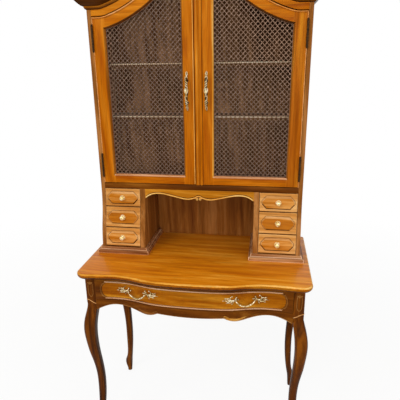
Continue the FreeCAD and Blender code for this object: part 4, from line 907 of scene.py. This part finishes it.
legLine = {  # metres and degrees; a station is a height, and how far the leg bows outwards there
    "stations": ((0.625, 0), (0.590, 0.004), (0.544, 0.013), (0.464, 0.015), (0.385, 0.008),
                 (0.283, -0.001), (0.150, 0.003), (0.092, 0.011), (0.056, 0.020), (0.0, 0.018)),
    "middle": (0.3815, 0.1585),  # of the front legs' posts
    "clear": 0.08,  # from the leg's middle to a place outside it
    "collarHeight": 0.631,
    "collarRise": 0.012,
    "collarTurn": (-50, 140, 5),  # from, to and by
    "collarRadius": 0.0019,
    "collarSunk": 0.0008,
    "cornerHeights": (0.606, 0.120),
    "cornerSteps": 60,
    "cornerBead": (-45, 0.0017),  # where round the leg, and radius
    "cornerLine": (-34, 0.0012),
}


def legCentre(sign, z):
    stations = legLine["stations"]
    bow = 0
    for (high, first), (low, last) in zip(stations, stations[1:]):
        if low <= z <= high:
            bow = first + (last - first) * (high - z) / (high - low)
    return Vector((sign * (legLine["middle"][0] + bow), -legLine["middle"][1] - bow, z))


def onLeg(side, sign, angle, z, sunk):  # angle 0 faces front, 90 faces outwards
    turn = math.radians(angle)
    heading = Vector((sign * math.sin(turn), -math.cos(turn), 0))
    found = hit("leg_front_" + side, legCentre(sign, z) + heading * legLine["clear"], -heading)
    return found - heading * sunk if found else None


def cornerStroke(side, sign, angle, radius):
    top, foot = legLine["cornerHeights"]
    count = legLine["cornerSteps"]
    heights = [top + (foot - top) * step / count for step in range(count + 1)]
    spots = [onLeg(side, sign, angle, z, radius * lineSunk) for z in heights]
    return [spot for spot in spots if spot], leafy(radius, tip=0.3), False


def collarStroke(side, sign):
    first, last, step = legLine["collarTurn"]
    spots = []
    for angle in range(first, last + 1, step):
        z = legLine["collarHeight"] + legLine["collarRise"] * math.sin(math.radians(min(90, angle)))
        spots.append(onLeg(side, sign, angle, z, legLine["collarSunk"]))
    return [spot for spot in spots if spot], even(legLine["collarRadius"]), False


strokes("leg_collars", root, woodFinish("rubbedHighlight", "up"),
        [collarStroke(side, sign) for side, sign in bothSides])
for name, tone, line in (("leg_corner_beads", "leg", "cornerBead"),
                         ("leg_corner_lines", "shadowed", "cornerLine")):
    strokes(name, root, woodFinish(tone, "up"),
            [cornerStroke(side, sign, *legLine[line]) for side, sign in bothSides])

postPanel = {  # millimetres from the panel's middle
    "middle": (382, 682),
    "outline": [(0, 30), (6, 25), (8.5, 14), (8.5, -14), (6, -25), (0, -31), (-6, -25), (-8.5, -14),
                (-8.5, 14), (-6, 25)],
    "leaves": ([(0, 22), (4, 27), (9, 29), (7, 24)], [(0, 22), (-4, 27), (-9, 29), (-7, 24)],
               [(0, 20), (0, 25), (0, 31)]),
    "rings": {"outer": (1, 1, 1.4, -0.5), "inner": (0.68, 0.9, 1.0, -0.4)},  # shares, radius, lift
    "leafRadius": 2.2,
    "leafLift": 0.6,
}


def panelSpots(side, sign, dots, lift, wide=1, high=1):
    x, z = postPanel["middle"]
    return onto("leg_front_" + side, [(sign * (x + dx * wide), z + dz * high) for dx, dz in dots], lift)


def panelRing(side, sign, name):
    wide, high, radius, lift = postPanel["rings"][name]
    ring = panelSpots(side, sign, postPanel["outline"], lift, wide, high)
    return curved(ring, closed=True), even(radius / 1000), True


outlines, sprigs = [], []
for side, sign in bothSides:
    outlines.append(panelRing(side, sign, "outer"))
    for leaf in postPanel["leaves"]:
        spots = panelSpots(side, sign, leaf, postPanel["leafLift"])
        sprigs.append((curved(spots), leafy(postPanel["leafRadius"] / 1000), False))
strokes("post_panels", root, woodFinish("tawny leg", "up"), outlines + sprigs)
strokes("post_panel_lines", root, woodFinish("shadowed", "up"),
        [panelRing(side, sign, "inner") for side, sign in bothSides])
print("legs carved")


# the long drawer's pulls: a slim bail between two sprays of leaves and buds

pullCasting = {  # millimetres: across from the pull's middle, up from its ends' height, and lift
    "middle": (197, 695),
    "bail": [(36, -3, 4), (34.5, -2, 9), (31.5, -5, 14), (25, -12, 17), (13, -19.5, 18.5),
             (0, -22.4, 19)],
    "bailRadius": 2.3,
    "bailSwell": (0.75, 0.4),  # shares of the radius at the ends, and added in the middle
    "fullness": 1.12,  # makes every leaf that much thicker
    "shadowAndGrime": (2.3, 1.85),  # painted shadow round the leaves: radius and depth, as shares of the leaf's
    "stud": (35, -2, 3.4),  # place and radius
    "studLifts": (-1, 2, 5, 8),
    "leaves": (  # points, radius
        ([(35, -3, 4), (43, -4.5, 4), (53, -5, 3.4), (64, -5.5, 3), (75, -6, 2)], 2.4),
        ([(44, -5, 3.4), (51, -11.5, 3), (61, -12, 3), (70, -6, 2.4)], 2.0),
        ([(51, -3, 3.4), (59, 2.5, 3), (66, 1.5, 3), (73, -3, 2)], 1.6),
        ([(39, -3, 4), (35, 2, 4), (33, 6, 4)], 1.5),
        ([(36, -2, 4), (31, -1, 4), (27, -2, 3.6)], 1.5),
        ([(55, 0, 3), (54, 6, 3), (49, 10, 3)], 1.4),
        ([(70, -5, 2), (76, -7, 1.6), (81, -6.5, 1.4)], 1.3),
        ([(65, 1, 2.4), (70, 3, 2), (75, 1, 1.6)], 1.3),
        ([(42, -6, 3.4), (44, -13, 3), (47, -18, 2.6)], 1.4),
        ([(60, -11, 3), (64, -15, 2.6), (70, -15, 2)], 1.2),
    ),
    "buds": ((33, 7, 4, 2.9), (26, -2, 3.6, 2.6), (48, 11, 3, 2.3), (47.5, -19, 2.6, 1.9)),
}


def bud(x, z, lift, radius):  # a short fat stroke reads as a ball
    return [(x - radius * 0.8, z, lift), (x, z, lift), (x + radius * 0.8, z, lift)], radius


def bailThickness(t):
    atEnds, added = pullCasting["bailSwell"]
    return pullCasting["bailRadius"] / 1000 * (atEnds + added * math.sin(math.pi * t))


shapes = list(pullCasting["leaves"]) + [bud(*place) for place in pullCasting["buds"]]
halfBail = pullCasting["bail"]
wholeBail = halfBail + [(-dx, dz, out) for dx, dz, out in reversed(halfBail[:-1])]
for side, sign in bothSides:
    nodeName = f"long_drawer_pull_{side}"
    x, z = pullCasting["middle"]
    x *= sign
    lines, shadowAndGrime = [], []
    for end in (1, -1):
        for dots, radius in shapes:
            wide, sunk = (radius * share for share in pullCasting["shadowAndGrime"])
            seats = [(x + end * dx, z + dz, out) for dx, dz, out in dots]
            spots = onto(longFace, [seat[:2] for seat in seats], -sunk)
            shadowAndGrime.append((curved(spots, steps=4), leafy(wide / 1000, tip=0.5), False))
            full = leafy(radius * pullCasting["fullness"] / 1000, tip=0.35)
            lines.append((curved(onto(longFace, seats), steps=4), full, False))
        dx, dz, radius = pullCasting["stud"]
        stud = onto(longFace, [(x + end * dx, z + dz, out) for out in pullCasting["studLifts"]])
        lines.append((stud, even(radius / 1000), False))
    spots = onto(longFace, [(x + dx, z + dz, out) for dx, dz, out in wholeBail])
    lines.append((curved(spots, steps=6), bailThickness, False))
    casting = strokes(nodeName + "_casting", "long_drawer", metalFinish("pull brass"), lines, roundness=3)
    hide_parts(nodeName)
    # dark strokes round the leaves: the casting's painted shadow on the drawer front
    strokes(nodeName + "_grime", "long_drawer", woodFinish("shadowed", "across"), shadowAndGrime, roundness=1)
print("pulls cast")


# chased ornament on the door handles

handleChasing = {  # millimetres across from the handle's middle, height above the floor
    "across": 35,
    "endGap": 0.002,  # metres that the ornament's depth is read inside the handle's ends
    "roundness": 0.3,  # how much the bar falls back per millimetre from its middle
    "strokes": (
        ([(0, 1440), (2.8, 1447), (1, 1456)], 1.4), ([(0, 1440), (-2.8, 1447), (-1, 1456)], 1.4),
        ([(-4.2, 1433), (-1, 1438), (3.6, 1436), (3.8, 1430), (0, 1427)], 1.3),
        ([(-4.8, 1417), (0, 1421.5), (4.8, 1426)], 1.5), ([(-5, 1409), (0, 1413.5), (5, 1418)], 1.5),
        ([(-4.8, 1401.5), (0, 1406), (4.8, 1410.5)], 1.5),
        ([(0, 1380), (0.6, 1389), (0, 1399)], 2.8),
        ([(1.5, 1381), (5.4, 1387), (5.6, 1395), (3, 1401)], 1.4),
        ([(-1.5, 1381), (-5.4, 1387), (-5.6, 1395), (-3, 1401)], 1.4),
        ([(-2.6, 1376), (0, 1377), (2.6, 1376)], 1.8),
        ([(-4, 1369), (0, 1372.5), (4, 1370), (3.6, 1364.5), (-1, 1363)], 1.3),
        ([(-5, 1352.5), (0, 1357), (5, 1361.5)], 1.5), ([(-5, 1345), (0, 1349.5), (5, 1354)], 1.5),
        ([(-4.6, 1337.5), (0, 1342), (4.6, 1346)], 1.4),
        ([(0, 1336), (3, 1331), (1, 1321)], 1.5), ([(0, 1336), (-3, 1331), (-1, 1321)], 1.5),
    ),
}
for side, sign in bothSides:
    handle = f"handle_{side}"
    middle = sign * handleChasing["across"] / 1000
    low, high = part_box(handle)
    foot, head = low.z + handleChasing["endGap"], high.z - handleChasing["endGap"]
    chased = []
    for dots, radius in handleChasing["strokes"]:
        spots = []
        for dx, z in dots:
            depth = onFront(handle, middle, max(foot, min(head, z / 1000))).y
            depth += abs(dx) * handleChasing["roundness"] / 1000
            spots.append(Vector((middle + sign * dx / 1000, depth, z / 1000)))
        chased.append((curved(spots, steps=4), leafy(radius / 1000, tip=0.4), False))
    strokes(handle + "_chasing", bodyOf(handle), metalFinish("chased brass"), chased)
print("handles chased")


# a rope ring behind each small knob, and a dark dot of painted shade for the dimple in its tip

knobRing = {
    "radius": 0.0088,
    "thickness": 0.0015,
    "swell": (0.85, 0.3),  # mean share of the thickness, and how far a bead leaves it
    "beads": 16,
    "lift": 0.0007,
    "dimpleShade": 0.0013,
    "dimpleShadeDepths": (-0.0002, 0.0008),
}


def ropeThickness(t):
    mean, swing = knobRing["swell"]
    return knobRing["thickness"] * (mean + swing * math.cos(2 * math.pi * knobRing["beads"] * t))


for side, sign in bothSides:
    for row in drawerRows:
        nodeName = f"drawer_{side}_{row}_knob"
        middle = middleOf(nodeName)
        count = knobRing["beads"] * 4
        spots = []
        for step in range(count):
            turn = 2 * math.pi * step / count
            x = middle.x + knobRing["radius"] * math.cos(turn)
            z = middle.z + knobRing["radius"] * math.sin(turn)
            spots.append(onFront(f"drawer_{side}_{row}_front", x, z, knobRing["lift"]))
        strokes(nodeName + "_ring", bodyOf(nodeName), metalFinish("knob brass"),
                [(spots, ropeThickness, True)])
        tip = onFront(nodeName, middle.x, middle.z)
        # a dark dot at the tip: painted shade standing for a dimple
        dimpleShade = [tip + Vector((0, depth, 0)) for depth in knobRing["dimpleShadeDepths"]]
        strokes(nodeName + "_dimple", bodyOf(nodeName), metalFinish("aged brass"),
                [(dimpleShade, even(knobRing["dimpleShade"]), False)])
print("knobs ringed")


# rounded lips on the doors, painted pale as highlights with a line of painted shade under each arch, and a
# pale bead along each shelf as a painted highlight

# the rim and side beads are painted pale and the sill bead paler still as highlights; the shade bead is
# painted shade under the arch
lips = {  # metres; forward and up say how far the bead's middle lies from the edge
    "rim": {"parts": ("rails", "stiles"), "facing": "up", "heights": (1.6, 2), "outFrom": 0,
            "tone": "lip", "radius": 0.0021, "forward": 0.0022, "up": 0.0012},
    "side": {"parts": ("stiles",), "facing": "outwards", "heights": (1, 2), "outFrom": 0.365,
             "tone": "lip", "radius": 0.0014, "forward": 0.0009, "up": 0},
    "sill": {"parts": ("rails",), "facing": "up", "heights": (1.06, 1.09), "outFrom": 0,
             "tone": "wornHighlight", "radius": 0.0019, "forward": -0.0006, "up": 0.0006},
    "shade": {"parts": ("rails",), "facing": "down", "heights": (1.5, 2), "outFrom": 0,
              "tone": "shadowed", "radius": 0.0034, "forward": -0.0024, "up": -0.0020},
}
shortestLip = 0.03
facings = {  # which way the other face of the edge looks
    "up": lambda n, sign: n.z > 0.3,
    "down": lambda n, sign: n.z < -0.25,
    "outwards": lambda n, sign: n.x * sign > 0.9,
}


def doorLip(side, sign, name):
    lip = lips[name]
    low, high = lip["heights"]

    def frontEdge(spot, normals, inward):
        return not inward and abs(spot.y - toneLimits["frontFace"]) < 0.0006 \
            and low < spot.z < high and abs(spot.x) > lip["outFrom"] \
            and any(n.y < -0.9 for n in normals) and any(facings[lip["facing"]](n, sign) for n in normals)

    place = Vector((0, -lip["forward"], lip["up"]))
    lines = []
    for part in lip["parts"]:
        for run in rims(f"door_{side}_{part}", frontEdge):
            if (run[-1] - run[0]).length > shortestLip:
                lines.append(([s + place for s in evened(run, gap=0.006)], even(lip["radius"]), False))
    strokes(f"door_{side}_{name}_bead", "door_" + side, woodFinish(lip["tone"], "across"), lines)


for side, sign in bothSides:
    for name in lips:
        doorLip(side, sign, name)

meetingBeads = {
    "beads": (  # place across in millimetres, radius, tone; the pale beads are painted highlights on the profile's crests, the darkest ones painted shade beside the meeting gap and at the astragal's foot
        (-12.6, 1.4, "golden highlight"), (-9.9, 1.1, "gap shade"), (-6.0, 1.1, "gap shade"),
        (0.5, 1.3, "valance"), (8.6, 1.2, "cherry"), (19.6, 0.9, "shadowed"),
    ),
    "carriers": ("astragal", "door_left_stiles", "door_right_stiles"),
    "readAt": 1.4,  # metres, as the foot and head
    "sunk": 0.55,  # share of the radius
    "foot": 1.046,
    "head": 1.772,
}
for number, (x, radius, tone) in enumerate(meetingBeads["beads"]):
    x /= 1000
    found = [(name, onFront(name, x, meetingBeads["readAt"])) for name in meetingBeads["carriers"]]
    carrier, face = min((pair for pair in found if pair[1]), key=lambda pair: pair[1].y)
    depth = face.y + radius / 1000 * meetingBeads["sunk"]
    spots = [Vector((x, depth, z)) for z in (meetingBeads["foot"], meetingBeads["head"])]
    strokes(f"meeting_bead_{number}", bodyOf(carrier), woodFinish(tone, "up"),
            [(evened(spots, gap=0.04), even(radius / 1000), False)])

# a pale bead along each shelf's upper front edge: a painted highlight
shelfNose = {"radius": 0.0022, "sunk": 0.001, "shortest": 0.3}


def upperFront(spot, normals, inward):
    return any(n.y < -0.9 for n in normals) and any(n.z > 0.9 for n in normals)


noseStep = Vector((0, shelfNose["sunk"], -shelfNose["sunk"]))
noses = [([s + noseStep for s in evened(run, gap=0.05)], even(shelfNose["radius"]), False)
         for run in rims("shelves", upperFront) if (run[-1] - run[0]).length > shelfNose["shortest"]]
strokes("shelf_noses", root, woodFinish("nose highlight", "across"), noses)
print("lips and beads laid")


# room, lamps and camera

room = {
    "floorSize": 40,
    "floorStops": ((0.3, "f4f2ee"), (0.7, "f8f6f3")),
    "glowShare": 0.86,  # how much of the floor's look is plain white near the desk
    "whiteFrom": (0.7, 3.0),  # metres from the middle over which it turns all white
    "bounce": 0.3,  # how pale the floor is to the light that comes up from it
    "worldStrength": 0.62,
    "lamps": (  # name, place, size, power, aimed at
        ("key", (-1.7, -2.7, 3.2), 1.6, 50, (0, 0, 1.0)),
        ("fill", (2.6, -2.6, 2.3), 2.0, 28, (0, 0, 0.9)),
        ("front", (0.3, -3.4, 1.5), 1.4, 40, (0, 0, 0.95)),
    ),
}


def seenOrMirrored(tree):  # 1 where the camera looks, or a mirror or glass shows it
    rays = addNode(tree, "ShaderNodeLightPath")
    total = rays.outputs["Is Camera Ray"]
    for other in ("Is Glossy Ray", "Is Transmission Ray"):
        total = maths(tree, "MAXIMUM", total, rays.outputs[other])
    return total


bpy.ops.object.select_all(action="DESELECT")
bpy.ops.mesh.primitive_plane_add(size=room["floorSize"], location=(0, 0, 0))
floor = bpy.context.object
floor.name = "floor"
floorFinish, tree, shader = newFinish("pale floor")
spot = addNode(tree, "ShaderNodeTexCoord").outputs["Object"]
speckle = noise(tree, spot, scale=3).outputs["Fac"]
fill(tree, shader, Base_Color=ramp(tree, speckle, room["floorStops"]), Roughness=0.9)
away = addNode(tree, "ShaderNodeVectorMath", {"operation": "LENGTH"}, Vector=spot).outputs["Value"]
whiteness = ranged(tree, away, room["whiteFrom"], (room["glowShare"], 1))
glow = addNode(tree, "ShaderNodeEmission", Strength=1.0).outputs["Emission"]
shown = blended(tree, whiteness, shader.outputs["BSDF"], glow)
dim = addNode(tree, "ShaderNodeBsdfDiffuse", Color=[room["bounce"]] * 3 + [1]).outputs["BSDF"]
surface = tree.nodes["Material Output"].inputs["Surface"]
tree.links.new(blended(tree, seenOrMirrored(tree), dim, shown), surface)
floor.data.materials.append(floorFinish)
floor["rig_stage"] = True

world = bpy.data.worlds.new("studio")
bpy.context.scene.world = world
world.use_nodes = True
tree = world.node_tree
lit = tree.nodes["Background"]
fill(tree, lit, Color=(1, 1, 1, 1), Strength=room["worldStrength"])
white = addNode(tree, "ShaderNodeBackground", Color=(1, 1, 1, 1), Strength=1.0)
surface = tree.nodes["World Output"].inputs["Surface"]
tree.links.new(blended(tree, seenOrMirrored(tree), lit.outputs["Background"],
                       white.outputs["Background"]), surface)

for lampName, spot, width, power, target in room["lamps"]:
    bpy.ops.object.light_add(type="AREA", location=spot)
    lamp = bpy.context.object
    lamp.name = lampName + " lamp"
    lamp.data.size = width
    lamp.data.energy = power
    aim = Vector(target) - Vector(spot)
    lamp.rotation_euler = aim.to_track_quat("-Z", "Y").to_euler()
    lamp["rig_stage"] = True

view = {
    "place": (0.2475, -1.5065, 1.4697),
    "turned": (72.5475, 0.7512, 8.7499),  # degrees round x, y and z
    "lens": 38.07,
    "sensor": 36,
}
bpy.ops.object.camera_add(location=view["place"], rotation=[math.radians(a) for a in view["turned"]])
camera = bpy.context.object
camera.data.sensor_width = view["sensor"]
camera.data.lens = view["lens"]
bpy.context.scene.camera = camera
bpy.context.scene.view_settings.view_transform = "Standard"
print("room, lamps and camera set")

bpy.context.view_layer.update()
low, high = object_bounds()
